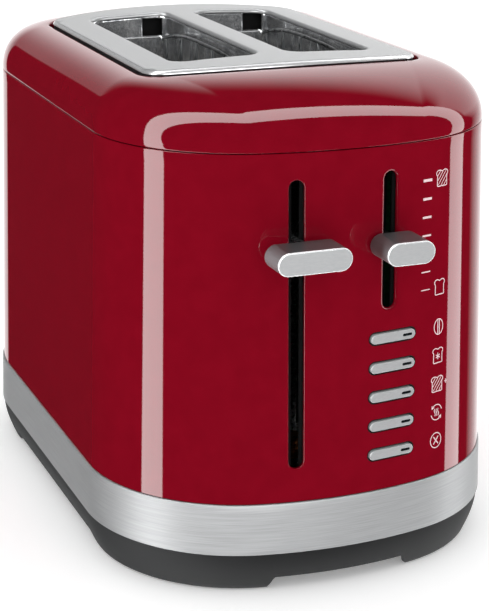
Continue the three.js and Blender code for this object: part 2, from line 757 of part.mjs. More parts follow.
// A bread rack: a strip with raised teeth, a tang through the front plate and a tail through the back.
function rack(x) {
  const half = RACK_WIDTH / 2;
  const z = [RACK_REST_Z, RACK_REST_Z + RACK_THICK];
  const strip = box([x - half, CHAMBER_FRONT + 2, z[0]], [x + half, CHAMBER_BACK - 2, z[1]]);
  const tang = box([x - 2.5, CARRIAGE_BACK + GAP, z[0] - 3], [x + 2.5, CHAMBER_FRONT + 6, z[1]]);
  const tail = box([x + half - TAIL_WIDTH, CHAMBER_BACK - 4, z[0]], [x + half, REAR_PLATE_Y + 5, z[1]]);
  const pitch = (CHAMBER_BACK - CHAMBER_FRONT - 24) / (RACK_TEETH - 1);
  const teeth = Array.from({ length: RACK_TEETH }, (_, i) => {
    const y = CHAMBER_FRONT + 12 + i * pitch;
    return box([x - half, y - 0.5, z[0]], [x + half, y + 0.5, z[1] + RACK_TOOTH]);
  });
  const valley = box([x - 3, CHAMBER_FRONT, z[1] + 0.6], [x + 3, CHAMBER_BACK, z[1] + 5]);
  return join(strip, tang, tail, ...teeth.map((t) => t.subtract(valley)));
}

// ---------------------------------------------------------------- lift mechanism
const ROD_TOP = CHAMBER_HIGH - BRACKET_DROP + 1;

const guideRod = () => bar([0, ROD_Y, BAND_TOP + 3], [0, ROD_Y, ROD_TOP], ROD_RADIUS, 16);

// A cross beam behind and a boss that slides on the rod.
function carriage() {
  const beam = box(
    [-CARRIAGE_HALF_WIDTH, CARRIAGE_BACK - BEAM_THICK, CARRIAGE_LOW],
    [CARRIAGE_HALF_WIDTH, CARRIAGE_BACK, CARRIAGE_HIGH],
  );
  const bossRadius = ROD_RADIUS + BOSS_WALL;
  const boss = bar([0, ROD_Y, CARRIAGE_LOW], [0, ROD_Y, CARRIAGE_HIGH], bossRadius, 16);
  const web = box([-3, ROD_Y, CARRIAGE_LOW], [3, CARRIAGE_BACK - 1, CARRIAGE_HIGH]);
  const bore = bar(
    [0, ROD_Y, CARRIAGE_LOW - 1],
    [0, ROD_Y, CARRIAGE_HIGH + 1],
    ROD_RADIUS + ROD_CLEARANCE,
    16,
  );
  return cut(join(beam, boss, web), bore);
}

// The flat arm that carries the lift knob: out through the slot, and fixed to the carriage behind.
function liftArm() {
  const x = [LIFT_X - ARM_THICK / 2, LIFT_X + ARM_THICK / 2];
  const z = [LIFT_REST_Z - ARM_HEIGHT / 2, LIFT_REST_Z + ARM_HEIGHT / 2];
  const knobBack = faceY(LIFT_X, LIFT_REST_Z) - LIFT_KNOB_STAND_OFF + GAP;
  return box([x[0], knobBack, z[0]], [x[1], CARRIAGE_BACK - BEAM_THICK - GAP, z[1]]);
}

const MAGNET_TOP = CARRIAGE_LOW - LIFT_DOWN - 2;

// The iron plate that the magnet holds, on an arm from the carriage's boss.
function latchPlate() {
  const z = [CARRIAGE_LOW - 1.5 - GAP, CARRIAGE_LOW - GAP];
  const near = ROD_Y - ROD_RADIUS - ROD_CLEARANCE - 0.8;
  const tongue = box([-4, MAGNET_Y - 6, z[0]], [4, near, z[1]]);
  const disc = bar([MAGNET_X, MAGNET_Y, z[0]], [MAGNET_X, MAGNET_Y, z[1]], MAGNET_RADIUS, 16);
  const bridge = box([MAGNET_X, MAGNET_Y - 6, z[0]], [4, MAGNET_Y + 6, z[1]]);
  return join(tongue, disc, bridge);
}

function magnetCoil() {
  const z = [BAND_TOP + 4, MAGNET_TOP - 3];
  const reach = MAGNET_RADIUS;
  const foot = box(
    [MAGNET_X - reach, MAGNET_Y - reach, z[0] - 1.5],
    [MAGNET_X + reach, MAGNET_Y + reach, z[0]],
  );
  const coil = bar([MAGNET_X, MAGNET_Y, z[0] - 1], [MAGNET_X, MAGNET_Y, z[1]], reach, 16);
  const hole = CORE_RADIUS + GAP;
  const bore = bar([MAGNET_X, MAGNET_Y, z[0] + 1], [MAGNET_X, MAGNET_Y, z[1] + 1], hole, 16);
  return cut(join(foot, coil), bore);
}

const magnetCore = () =>
  bar([MAGNET_X, MAGNET_Y, BAND_TOP + 5 + GAP], [MAGNET_X, MAGNET_Y, MAGNET_TOP], CORE_RADIUS, 16);

// The stretched spring that lifts the carriage, hung beside the rod.
function liftSpring() {
  const x = SPRING_X;
  const low = CARRIAGE_HIGH + GAP;
  const high = CHAMBER_HIGH - BRACKET_DROP - 1;
  const points = [];
  const perTurn = 10;
  for (let i = 0; i <= SPRING_TURNS * perTurn; i++) {
    const a = (2 * Math.PI * i) / perTurn;
    const z = low + 1 + ((high - low - 2) * i) / (SPRING_TURNS * perTurn);
    points.push(
      new THREE.Vector3(
        x + SPRING_RADIUS * Math.cos(a),
        CARRIAGE_BACK - 6 + SPRING_RADIUS * Math.sin(a),
        z,
      ),
    );
  }
  const section = new THREE.Shape();
  section.absarc(0, 0, SPRING_WIRE / 2, 0, 2 * Math.PI, false);
  const settings = {
    steps: SPRING_TURNS * perTurn,
    curveSegments: 3,
    bevelEnabled: false,
    extrudePath: new THREE.CatmullRomCurve3(points),
  };
  return solid(new THREE.ExtrudeGeometry(section, settings));
}

// The bracket that the spring and the rod hang from, fixed to the front end plate.
function topBracket() {
  const z = [CHAMBER_HIGH - BRACKET_DROP, CHAMBER_HIGH - BRACKET_DROP + 1.5];
  const right = SPRING_X + SPRING_RADIUS + 1.6;
  const shelf = box([-8, ROD_Y - 6, z[0]], [right, FRONT_PLATE_Y - GAP, z[1]]);
  const flange = box(
    [-8, FRONT_PLATE_Y - GAP - 1.5, z[0] - 10],
    [right, FRONT_PLATE_Y - GAP, z[1]],
  );
  const hole = bar([0, ROD_Y, z[0] - 1], [0, ROD_Y, z[1] + 1], ROD_RADIUS + GAP, 16);
  return cut(join(shelf, flange), hole);
}

// ---------------------------------------------------------------- control board
function controlBoard() {
  return box(
    [BOARD_LEFT, BOARD_Y, BOARD_LOW],
    [BOARD_RIGHT, BOARD_Y + BOARD_THICK, BOARD_HIGH],
  );
}


// The track of the browning control, open along its front for the stem.
function browningTrack() {
  const half = TRACK_WIDTH / 2;
  const groove = STEM_WIDTH / 2 + STEM_CLEARANCE;
  const low = BROWN_SLOT_LOW - 5;
  const high = Math.min(BROWN_SLOT_HIGH + 5, BOARD_HIGH);
  const front = BOARD_FACE - TRACK_DEPTH;
  const track = box([BROWN_X - half, front, low], [BROWN_X + half, BOARD_FACE, high]);
  const channel = box(
    [BROWN_X - groove, front - 1, low + 2],
    [BROWN_X + groove, BOARD_FACE - 2, high - 2],
  );
  return cut(track, channel);
}

function browningStem() {
  const knobBack = faceY(BROWN_X, BROWN_REST_Z) - BROWN_KNOB_STAND_OFF + GAP;
  return box(
    [BROWN_X - STEM_WIDTH / 2, knobBack, BROWN_REST_Z - STEM_HEIGHT / 2],
    [BROWN_X + STEM_WIDTH / 2, BOARD_FACE - TRACK_DEPTH / 2, BROWN_REST_Z + STEM_HEIGHT / 2],
  );
}

// The row of push switches that the buttons press, on one moulded strip.
function switchStrip() {
  const bottom = BUTTON_TOP_Z - (BUTTON_NAMES.length - 1) * BUTTON_PITCH;
  const backing = box(
    [BUTTON_X - 5, BOARD_FACE - 1.5, bottom - 4],
    [BUTTON_X + 5, BOARD_FACE, BUTTON_TOP_Z + 3],
  );
  const domes = BUTTON_NAMES.map((_, i) => {
    const z = BUTTON_TOP_Z - i * BUTTON_PITCH;
    return box([BUTTON_X - 3, SWITCH_FACE, z - 2.5], [BUTTON_X + 3, BOARD_FACE - 1, z + 2.5]);
  });
  return join(backing, ...domes);
}

// ---------------------------------------------------------------- crumb tray and base fittings
function crumbTray() {
  const half = TRAY_WIDTH / 2;
  const low = [-half, TRAY_FRONT_Y, TRAY_FLOOR];
  const block = box(low, [half, TRAY_BACK_Y, TRAY_FLOOR + TRAY_DEEP]);
  const pan = box(
    low.map((v) => v + TRAY_SHEET),
    [half - TRAY_SHEET, TRAY_BACK_Y - TRAY_SHEET, TRAY_FLOOR + TRAY_DEEP + 1],
  );
  return cut(block, pan);
}

// The tray's pull: a piece of the band's own curve, with a stem forward to the tray.
function trayPull() {
  const ring = cut(
    bodyBlock(BAND_BOTTOM - 1, BAND_TOP + 1, -BAND_PROUD),
    bodyBlock(BAND_BOTTOM - 2, BAND_TOP + 2, PULL_THICK - BAND_PROUD),
  );
  const face = ring.intersect(pullBlock(0));
  const stem = box(
    [-20, TRAY_BACK_Y + GAP, TRAY_FLOOR + 1],
    [20, BODY_LENGTH / 2, TRAY_FLOOR + 4],
  ).intersect(bodyBlock(BAND_BOTTOM, BAND_TOP, 1));
  return join(face, stem);
}

// An upright beside the tray that carries the chamber, with a ledge that the tray slides on.
function trayRail(side) {
  const inner = TRAY_WIDTH / 2 + RAIL_CLEARANCE;
  const front = TRAY_FRONT_Y - 4;
  const back = REAR_PLATE_Y + 29;
  const between = (a, b) => [side * a, side * b].sort((p, q) => p - q);
  const wall = between(inner, inner + RAIL_WALL);
  const ledge = between(TRAY_WIDTH / 2 - RAIL_LEDGE, inner + RAIL_WALL / 2);
  return join(
    box([wall[0], front, FOOT_HEIGHT + BASE_WALL + GAP], [wall[1], back, CHAMBER_LOW - GAP]),
    box([ledge[0], front, TRAY_FLOOR - 1.5], [ledge[1], back, TRAY_FLOOR - GAP]),
  );
}

function cordGland() {
  const wallY = BODY_LENGTH / 2 - BASE_TUCK;
  const y = wallY - (GLAND_X ** 2) / (2 * END_RADIUS);
  const tube = bar([GLAND_X, y - 16, GLAND_Z], [GLAND_X, y, GLAND_Z], GLAND_RADIUS, 16);
  const wide = GLAND_RADIUS + GLAND_FLANGE;
  const flange = bar([GLAND_X, y - 16, GLAND_Z], [GLAND_X, y - 12, GLAND_Z], wide, 16);
  const bore = bar([GLAND_X, y - 18, GLAND_Z], [GLAND_X, y + 2, GLAND_Z], CORD_RADIUS, 16);
  return cut(join(tube, flange), bore);
}

const footPad = ([x, y]) => bar([x, y, 0], [x, y, PAD_THICK], PAD_RADIUS, 16);

function baseScrew([x, y]) {
  const floor = FOOT_HEIGHT + BASE_WALL;
  const head = bar([x, y, FOOT_HEIGHT - 1.9], [x, y, FOOT_HEIGHT - GAP], SCREW_HEAD_RADIUS, 12);
  const shank = bar([x, y, FOOT_HEIGHT - 1], [x, y, floor + 4], SCREW_RADIUS, 8);
  const cross = join(
    box([x - 2, y - 0.4, FOOT_HEIGHT - 3], [x + 2, y + 0.4, FOOT_HEIGHT - 1]),
    box([x - 0.4, y - 2, FOOT_HEIGHT - 3], [x + 0.4, y + 2, FOOT_HEIGHT - 1]),
  );
  return cut(join(head, shank), cross);
}

// ---------------------------------------------------------------- the toaster
add("body_shell", bodyShell(), redEnamel);
add("top_cap", topCap(), redEnamel);
add("top_plate", topPlate(), brushedSteel);
add("slot_liner_left", slotLiner(-SLOT_CENTRE_X), brightSteel);
add("slot_liner_right", slotLiner(SLOT_CENTRE_X), brightSteel);
add("base_band", baseBand(), brushedSteel);
add("base", base(), greyPlastic);
corners(PAD_X, PAD_Y).forEach((p, i) => add(`foot_pad_${i + 1}`, footPad(p), rubber));
corners(SCREW_X, SCREW_Y).forEach((p, i) => add(`base_screw_${i + 1}`, baseScrew(p), brightSteel));

add("lift_knob", knob(LIFT_X, LIFT_REST_Z, LIFT_KNOB_WIDTH, LIFT_KNOB_STAND_OFF), satinAluminium);
add("lift_arm", liftArm(), brightSteel);
add(
  "browning_knob",
  knob(BROWN_X, BROWN_REST_Z, BROWN_KNOB_WIDTH, BROWN_KNOB_STAND_OFF),
  satinAluminium,
);
add("browning_stem", browningStem(), blackPlastic);
BUTTON_NAMES.forEach((name, i) => {
  add(`button_${name}`, button(i), satinAluminium);
  add(`lamp_${name}`, lamp(i), smokedLens);
});

add("front_end_plate", frontEndPlate(), brightSteel);
add("rear_end_plate", rearEndPlate(), brightSteel);
add("heat_shield_left", heatShield(-1), brightSteel);
add("heat_shield_right", heatShield(1), brightSteel);
for (const [side, x] of [["left", -CARD_OUTER_X], ["centre", 0], ["right", CARD_OUTER_X]]) {
  add(`heater_card_${side}`, heaterCard(x), mica);
  add(`heater_ribbon_${side}`, heaterRibbon(x), nichrome);
}
for (const [side, centre] of [["left", -SLOT_CENTRE_X], ["right", SLOT_CENTRE_X]]) {
  add(`bread_guide_${side}_a`, breadGuide(centre - GUIDE_OFFSET), brightSteel);
  add(`bread_guide_${side}_b`, breadGuide(centre + GUIDE_OFFSET), brightSteel);
  add(`bread_rack_${side}`, rack(centre), brightSteel);
}

add("carriage", carriage(), blackPlastic);
add("guide_rod", guideRod(), brightSteel);
add("lift_spring", liftSpring(), brightSteel);
add("top_bracket", topBracket(), brightSteel);
add("latch_plate", latchPlate(), brightSteel);
add("magnet_coil", magnetCoil(), copper);
add("magnet_core", magnetCore(), brightSteel);
add("control_board", controlBoard(), boardGreen);
add("browning_track", browningTrack(), blackPlastic);
add("switch_strip", switchStrip(), blackPlastic);

add("crumb_tray", crumbTray(), brightSteel);
add("crumb_tray_pull", trayPull(), brushedSteel);
add("tray_rail_left", trayRail(-1), greyPlastic);
add("tray_rail_right", trayRail(1), greyPlastic);
add("cord_gland", cordGland(), blackPlastic);

export default toaster;
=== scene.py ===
# A two-slot pop-up toaster: red enamelled shell and cap, brushed steel top plate and band,
# satin aluminium controls and a dark grey base. Shapes are worked out in millimetres.
import math

import bmesh
import bpy
import numpy as np
from mathutils import Matrix, Vector
from mathutils.geometry import delaunay_2d_cdt


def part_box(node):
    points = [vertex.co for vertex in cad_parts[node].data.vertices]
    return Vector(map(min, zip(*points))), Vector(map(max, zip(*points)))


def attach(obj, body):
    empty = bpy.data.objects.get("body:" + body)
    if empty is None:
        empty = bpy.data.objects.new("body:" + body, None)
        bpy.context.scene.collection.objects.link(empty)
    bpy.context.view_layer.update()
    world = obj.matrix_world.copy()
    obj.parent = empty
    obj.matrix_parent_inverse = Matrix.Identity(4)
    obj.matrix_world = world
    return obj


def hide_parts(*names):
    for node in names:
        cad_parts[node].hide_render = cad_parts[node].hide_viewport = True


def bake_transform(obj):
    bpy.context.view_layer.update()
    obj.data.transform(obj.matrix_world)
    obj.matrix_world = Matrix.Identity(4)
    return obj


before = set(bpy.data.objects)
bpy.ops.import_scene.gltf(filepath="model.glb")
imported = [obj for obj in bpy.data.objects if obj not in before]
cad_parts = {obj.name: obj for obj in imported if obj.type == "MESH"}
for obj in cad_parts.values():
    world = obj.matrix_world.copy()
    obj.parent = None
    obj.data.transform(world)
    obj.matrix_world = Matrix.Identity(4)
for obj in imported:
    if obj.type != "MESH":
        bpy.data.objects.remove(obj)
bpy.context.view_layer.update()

# ------------------------------------------------------------------ camera
# A long lens looks down on the front left corner from a little over half a metre away.
CAMERA_PLACE = (-0.2772, -0.7133, 0.3248)
CAMERA_YAW = math.radians(21.67)
CAMERA_PITCH = math.radians(-17.84)
CAMERA_ROLL = math.radians(0.34)

camera_data = bpy.data.cameras.new("camera")
camera_data.lens = 106.26
camera_data.sensor_width = 36.0
camera_data.clip_start = 0.05
camera_data.clip_end = 60.0
camera = bpy.data.objects.new("camera", camera_data)
bpy.context.scene.collection.objects.link(camera)
camera.matrix_world = (
    Matrix.Translation(CAMERA_PLACE)
    @ Matrix.Rotation(-CAMERA_YAW, 4, "Z")
    @ Matrix.Rotation(math.pi / 2 + CAMERA_PITCH, 4, "X")
    @ Matrix.Rotation(CAMERA_ROLL, 4, "Z")
)
bpy.context.scene.camera = camera


# ------------------------------------------------------------------ studio
# A white tent: a portal of soft light stands level with the front of the toaster and over it, and a
# white backdrop stands behind. The gloss sees those panels only, and the rest gets even white light.
EVEN_LIGHT = 1.06
PORTAL_LIGHT = 6.3
PORTAL_FALL = 1.9  # the portal is this much dimmer for each unit towards the right
PORTAL_FRONT = (-0.235, 0.2)  # its front edge at the horizon, and how far it moves going up
PORTAL_BACK = (0.068, 0.26)  # its back edge, which moves with the square of the height
BACKDROP_LIGHT = 1.35
BACKDROP_TOP = (0.6, 0.9)  # its top edge straight ahead, and the rise towards the right
BACKDROP_LEFT = (-0.25, -0.238)  # from where to where it comes in at the left, as x over y
BACKDROP_RIGHT = (3.3, 1.1)  # and at the right
BACKDROP_FADE = (-0.1, 0.62)  # and under its top edge, as z over y
DARK = 0.012


def linear(hex_colour):
    """sRGB hex to linear RGBA: each channel goes through the sRGB curve backwards."""
    channels = [int(hex_colour[i : i + 2], 16) / 255 for i in (1, 3, 5)]
    return (*[c / 12.92 if c <= 0.04045 else ((c + 0.055) / 1.055) ** 2.4 for c in channels], 1.0)


def add_node(tree, kind, inputs=None, **settings):
    """Adds one node: settings are its properties, and each input is a value or another's output."""
    node = tree.nodes.new(kind)
    for name, value in settings.items():
        setattr(node, name, value)
    for key, value in (inputs or {}).items():
        if isinstance(value, bpy.types.NodeSocket):
            tree.links.new(value, node.inputs[key])
        else:
            node.inputs[key].default_value = value
    return node


world = bpy.data.worlds.new("studio")
bpy.context.scene.world = world
world.use_nodes = True
sky = world.node_tree
sky.nodes.clear()
MATH, RANGE = "ShaderNodeMath", "ShaderNodeMapRange"
looking = add_node(sky, "ShaderNodeTexCoord").outputs["Generated"]
dir_x, dir_y, dir_z = add_node(sky, "ShaderNodeSeparateXYZ", {0: looking}).outputs

# The portal lies between two edges in y, which both move back as it goes up over the toaster.
up = add_node(sky, MATH, {0: dir_z, 1: 0.0}, operation="MAXIMUM").outputs[0]
up_squared = add_node(sky, MATH, {0: up, 1: up}, operation="MULTIPLY").outputs[0]
edge_back = add_node(
    sky, MATH, {0: up_squared, 1: PORTAL_BACK[1], 2: PORTAL_BACK[0]}, operation="MULTIPLY_ADD"
).outputs[0]
edge_front = add_node(
    sky, MATH, {0: up, 1: PORTAL_FRONT[1], 2: PORTAL_FRONT[0]}, operation="MULTIPLY_ADD"
).outputs[0]
gap_back = add_node(sky, MATH, {0: edge_back, 1: dir_y}, operation="SUBTRACT").outputs[0]
gap_front = add_node(sky, MATH, {0: dir_y, 1: edge_front}, operation="SUBTRACT").outputs[0]
within = add_node(sky, MATH, {0: gap_back, 1: gap_front}, operation="MINIMUM").outputs[0]
portal = add_node(sky, RANGE, {"Value": within, "From Max": 0.012}).outputs[0]
level = add_node(
    sky, MATH, {0: dir_x, 1: -PORTAL_FALL, 2: PORTAL_LIGHT}, operation="MULTIPLY_ADD"
).outputs[0]
portal_light = add_node(sky, MATH, {0: portal, 1: level}, operation="MULTIPLY").outputs[0]

# The backdrop ends at the left, and its top edge rises towards the right.
away = add_node(sky, MATH, {0: dir_y, 1: 0.02}, operation="MAXIMUM").outputs[0]
across = add_node(sky, MATH, {0: dir_x, 1: away}, operation="DIVIDE").outputs[0]
height = add_node(sky, MATH, {0: dir_z, 1: away}, operation="DIVIDE").outputs[0]
top_edge = add_node(
    sky, MATH, {0: across, 1: BACKDROP_TOP[1], 2: BACKDROP_TOP[0]}, operation="MULTIPLY_ADD"
).outputs[0]
below_top = add_node(sky, MATH, {0: top_edge, 1: height}, operation="SUBTRACT").outputs[0]
starts, ends = BACKDROP_LEFT
inner = add_node(sky, RANGE, {"Value": across, "From Min": starts, "From Max": ends}).outputs[0]
raised = add_node(sky, MATH, {0: height, 1: 0.0}, operation="MAXIMUM").outputs[0]
flared = add_node(sky, MATH, {0: raised, 1: -3.0, 2: across}, operation="MULTIPLY_ADD").outputs[0]
starts, ends = BACKDROP_RIGHT
outer = add_node(sky, RANGE, {"Value": flared, "From Min": starts, "From Max": ends}).outputs[0]
fade = {"Value": below_top, "From Min": BACKDROP_FADE[0], "From Max": BACKDROP_FADE[1]}
under = add_node(sky, RANGE, fade, interpolation_type="SMOOTHSTEP").outputs[0]
behind = add_node(sky, RANGE, {"Value": dir_y, "From Min": 0.1, "From Max": 0.16}).outputs[0]
sides = add_node(sky, MATH, {0: inner, 1: outer}, operation="MULTIPLY").outputs[0]
upright = add_node(sky, MATH, {0: under, 1: behind}, operation="MULTIPLY").outputs[0]
backdrop = add_node(sky, MATH, {0: sides, 1: upright}, operation="MULTIPLY").outputs[0]
backdrop_light = add_node(
    sky, MATH, {0: backdrop, 1: BACKDROP_LIGHT, 2: DARK}, operation="MULTIPLY_ADD"
).outputs[0]
in_gloss = add_node(sky, MATH, {0: portal_light, 1: backdrop_light}, operation="MAXIMUM").outputs[0]
is_gloss = add_node(sky, "ShaderNodeLightPath").outputs["Is Glossy Ray"]
strength = add_node(sky, "ShaderNodeMix", {0: is_gloss, 2: EVEN_LIGHT, 3: in_gloss}).outputs[0]
background = add_node(sky, "ShaderNodeBackground", {"Color": (1, 1, 1, 1), "Strength": strength})
add_node(sky, "ShaderNodeOutputWorld", {"Surface": background.outputs[0]})
bpy.context.scene.view_settings.view_transform = "Standard"

# Two soft panels light only some of the bare metal, so that the enamel stays deep: one in front of
# every polished piece, and one at the left of the knobs' sides.
metal_pieces = bpy.data.collections.new("metal_pieces")
knob_sides = bpy.data.collections.new("knob_sides")
for name, place, size, power, lit in (
    ("front_fill", (-0.35, -1.5, 0.35), (1.8, 1.2), 42.0, metal_pieces),
    ("side_fill", (-0.95, -0.3, 0.1), (0.4, 0.15), 30.0, knob_sides),
):
    panel = bpy.data.lights.new(name, "AREA")
    panel.shape = "RECTANGLE"
    panel.size, panel.size_y = size
    panel.energy = power
    fill = bpy.data.objects.new(name, panel)
    bpy.context.scene.collection.objects.link(fill)
    fill.location = place
    fill.rotation_euler = (-fill.location).to_track_quat("-Z", "Y").to_euler()
    fill.light_linking.receiver_collection = lit


def new_look(name):
    """An empty node material, with its tree and the piece's own Object coordinates in metres."""
    look = bpy.data.materials.new(name)
    look.use_nodes = True
    look.node_tree.nodes.clear()
    return look, look.node_tree, add_node(look.node_tree, "ShaderNodeTexCoord").outputs["Object"]


# The floor is a light table of opal acrylic, with a faint tooth, which glows a little itself. The
# gloss sees the tent's panels through it.
TABLE_GLOW = 0.2
FLOOR_HALF = 14.0
floor_look, tree, place = new_look("opal_acrylic_light_table")
tooth = add_node(tree, "ShaderNodeTexNoise", {"Vector": place, "Scale": 400.0}).outputs[0]
tint = add_node(
    tree, "ShaderNodeMix", {0: tooth, 6: linear("#FDFDFD"), 7: linear("#FFFFFF")}, data_type="RGBA"
).outputs[2]
opal = {"Base Color": tint, "Roughness": 1.0, "Specular IOR Level": 0.0}
opal |= {"Emission Color": (1, 1, 1, 1), "Emission Strength": TABLE_GLOW}
table = add_node(tree, "ShaderNodeBsdfPrincipled", opal)
add_node(tree, "ShaderNodeOutputMaterial", {"Surface": table.outputs[0]})
floor_mesh = bpy.data.meshes.new("floor")
corners = [(x * FLOOR_HALF, y * FLOOR_HALF, 0) for x, y in ((-1, -1), (1, -1), (1, 1), (-1, 1))]
floor_mesh.from_pydata(corners, [], [(0, 1, 2, 3)])
floor_mesh.materials.append(floor_look)
floor = bpy.data.objects.new("floor", floor_mesh)
bpy.context.scene.collection.objects.link(floor)
floor.visible_glossy = False

# ------------------------------------------------------------------ body shell
# One steel wrap with bowed ends and leaning sides, enamelled in a deep gloss red. Slots for the two
# sliders and five button holes are punched through its front, and their edges are rolled inwards.
MM = 0.001


def mm_box(node):
    """A node's lowest and highest corners at rest, in millimetres."""
    return [np.array(corner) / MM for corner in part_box(node)]


SHELL_BOX = mm_box("body_shell")
BODY_CENTRE_Y = (SHELL_BOX[0][1] + SHELL_BOX[1][1]) / 2
BODY_HALF_WIDTH = 86.0
BODY_HALF_LENGTH = 132.5
END_RADIUS = 159.0
CORNER_RADIUS = 65.0
DRAFT = 0.03
SHELL_LOW, SHELL_HIGH = SHELL_BOX[0][2], SHELL_BOX[1][2]
SHELL_WALL = 1.4
SHELL_HEM = 1.2  # the foot's edge is turned in by this much
SEAM_RADIUS = 0.4
SEAM_LEDGE = 4.0  # the shell's top and the cap's foot are turned in by this much
PANEL_HALF = 33.0
SHEET_GRID = 3.0  # between the points that a holed sheet is drawn through

CORNER_X = BODY_HALF_WIDTH - CORNER_RADIUS
CORNER_Y = END_RADIUS - BODY_HALF_LENGTH - math.sqrt((END_RADIUS - CORNER_RADIUS) ** 2 - CORNER_X**2)
SWEEP = math.atan2(CORNER_X, END_RADIUS - BODY_HALF_LENGTH - CORNER_Y)
END_ARC = END_RADIUS * SWEEP
CORNER_ARC = CORNER_RADIUS * (math.pi / 2 - SWEEP)
QUARTER = END_ARC + CORNER_ARC - CORNER_Y


def wall_at(s):
    """The body's outline at the table's height, by arc length s from the middle of the front.

    An end arc, then a corner arc, then a straight side, mirrored to the back and to the left.
    Returns (points, outward normals)."""
    s = (s + 2 * QUARTER) % (4 * QUARTER) - 2 * QUARTER
    a = np.abs(s)
    behind = a > QUARTER
    a = np.where(behind, 2 * QUARTER - a, a)
    on_end = a < END_ARC
    turn = np.where(on_end, a / END_RADIUS, SWEEP + (a - END_ARC) / CORNER_RADIUS)
    turn = np.minimum(turn, math.pi / 2)
    x = np.where(on_end, END_RADIUS * np.sin(turn), CORNER_X + CORNER_RADIUS * np.sin(turn))
    end_y = END_RADIUS - BODY_HALF_LENGTH - END_RADIUS * np.cos(turn)
    side_y = np.maximum(a - END_ARC - CORNER_ARC, 0)
    y = np.where(on_end, end_y, CORNER_Y - CORNER_RADIUS * np.cos(turn) + side_y)
    right, front = np.where(s < 0, -1, 1), np.where(behind, -1, 1)
    points = np.c_[right * x, front * y + BODY_CENTRE_Y]
    return points, np.c_[right * np.sin(turn), -front * np.cos(turn)]


def on_wall(s, z, inwards=0.0):
    """The leaning wall at arc length s and height z: the outline moved in by DRAFT z + inwards."""
    s, z, inwards = (np.array(v, float) for v in np.broadcast_arrays(s, z, inwards))
    points, facing = wall_at(s)
    return np.c_[points - facing * (DRAFT * z + inwards)[:, None], z]


def front_s(x, z):
    """Arc length of the place on the front at x across and z up: the end arc's angle is the arcsine
    of x over the radius there, and past the end arc the corner arc's angle is found the same way."""
    a, lean = np.abs(x), DRAFT * np.asarray(z, float)
    on_end = a < (END_RADIUS - lean) * math.sin(SWEEP)
    end = END_RADIUS * np.arcsin(np.minimum(a / (END_RADIUS - lean), 1))
    corner_turn = np.arcsin(np.clip((a - CORNER_X) / (CORNER_RADIUS - lean), 0, 1))
    return np.sign(x) * np.where(on_end, end, END_ARC + CORNER_RADIUS * (corner_turn - SWEEP))


def new_piece(name, groups, body, look, nodes=(), sharp=40.0, wall=0.0, metal=False):
    """Makes one smooth piece from (points in millimetres, faces) groups, whose shared points are
    joined, and gives it its body, the nodes it stands for and its wall."""
    mesh = bpy.data.meshes.new(name)
    faces, start = [], 0
    for points, group_faces in groups:
        faces += [[i + start for i in face] for face in group_faces]
        start += len(points)
    mesh.from_pydata((np.vstack([points for points, _ in groups]) * MM).tolist(), [], faces)
    work = bmesh.new()
    work.from_mesh(mesh)
    bmesh.ops.remove_doubles(work, verts=work.verts, dist=5e-6)
    work.to_mesh(mesh)
    work.free()
    mesh.shade_smooth()
    mesh.set_sharp_from_angle(angle=math.radians(sharp))
    mesh.materials.append(look)
    piece = bpy.data.objects.new(name, mesh)
    bpy.context.scene.collection.objects.link(piece)
    if wall:
        solid = piece.modifiers.new("wall", "SOLIDIFY")
        solid.thickness = wall * MM
        solid.offset = -1.0
    if body:  # a piece that blends across a joint has none
        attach(piece, body)
    if nodes:
        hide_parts(*nodes)
    if metal:
        metal_pieces.objects.link(piece)
    return piece


def grid_faces(rows, columns, closed=False):
    """Quads of a grid of rows x columns points; closed joins the last column to the first."""
    last = columns if closed else columns - 1
    r, c = np.meshgrid(np.arange(rows - 1), np.arange(last), indexing="ij")
    n = (c + 1) % columns
    quads = [r * columns + c, r * columns + n, (r + 1) * columns + n, (r + 1) * columns + c]
    return np.stack(quads, -1).reshape(-1, 4).tolist()


def stacked(rings, closed=True):
    """Rings of points that run anticlockwise, the lowest first, as (points, faces)."""
    return np.vstack(rings), grid_faces(len(rings), len(rings[0]), closed)


def capped(rings, first=True, last=True):
    """Stacked rings with a flat over the first ring, over the last ring, or over both."""
    points, faces = stacked(rings)
    sides = len(rings[0])
    if first:
        faces.append(list(range(sides))[::-1])
    if last:
        faces.append(list(range(len(points) - sides, len(points))))
    return points, faces


def rounding(radius, rows=6):
    """A quarter round as (spread, sink) pairs: radius (1 - sine) and radius (1 - cosine)."""
    t = np.linspace(0, math.pi / 2, rows)
    return list(zip(radius * (1 - np.sin(t)), radius * (1 - np.cos(t)), strict=True))


def stadium(width, height, count):
    """A slot shape about the middle: two straights and two half circles, evenly spaced points,
    anticlockwise."""
    radius = min(width, height) / 2
    straight = max(width, height) - 2 * radius
    arc = math.pi * radius
    d = np.arange(count) / count * 2 * (straight + arc)
    first = (d - straight) / radius - math.pi / 2
    second = (d - 2 * straight - arc) / radius + math.pi / 2
    where = [d < straight, d < straight + arc, d < 2 * straight + arc]
    half = straight / 2
    x = [d - half, half + radius * np.cos(first), 3 * half + arc - d]
    y = [np.full(count, -radius), radius * np.sin(first), np.full(count, radius)]
    x = np.select(where, x, -half + radius * np.cos(second))
    y = np.select(where, y, radius * np.sin(second))
    return np.c_[x, y] if width >= height else np.c_[-y, x]


def grown(loop, distance):
    """A closed anticlockwise loop moved outwards by distance, along its own normals."""
    along = np.roll(loop, -1, 0) - np.roll(loop, 1, 0)
    along /= np.linalg.norm(along, axis=1)[:, None]
    return loop + distance * np.c_[along[:, 1], -along[:, 0]]


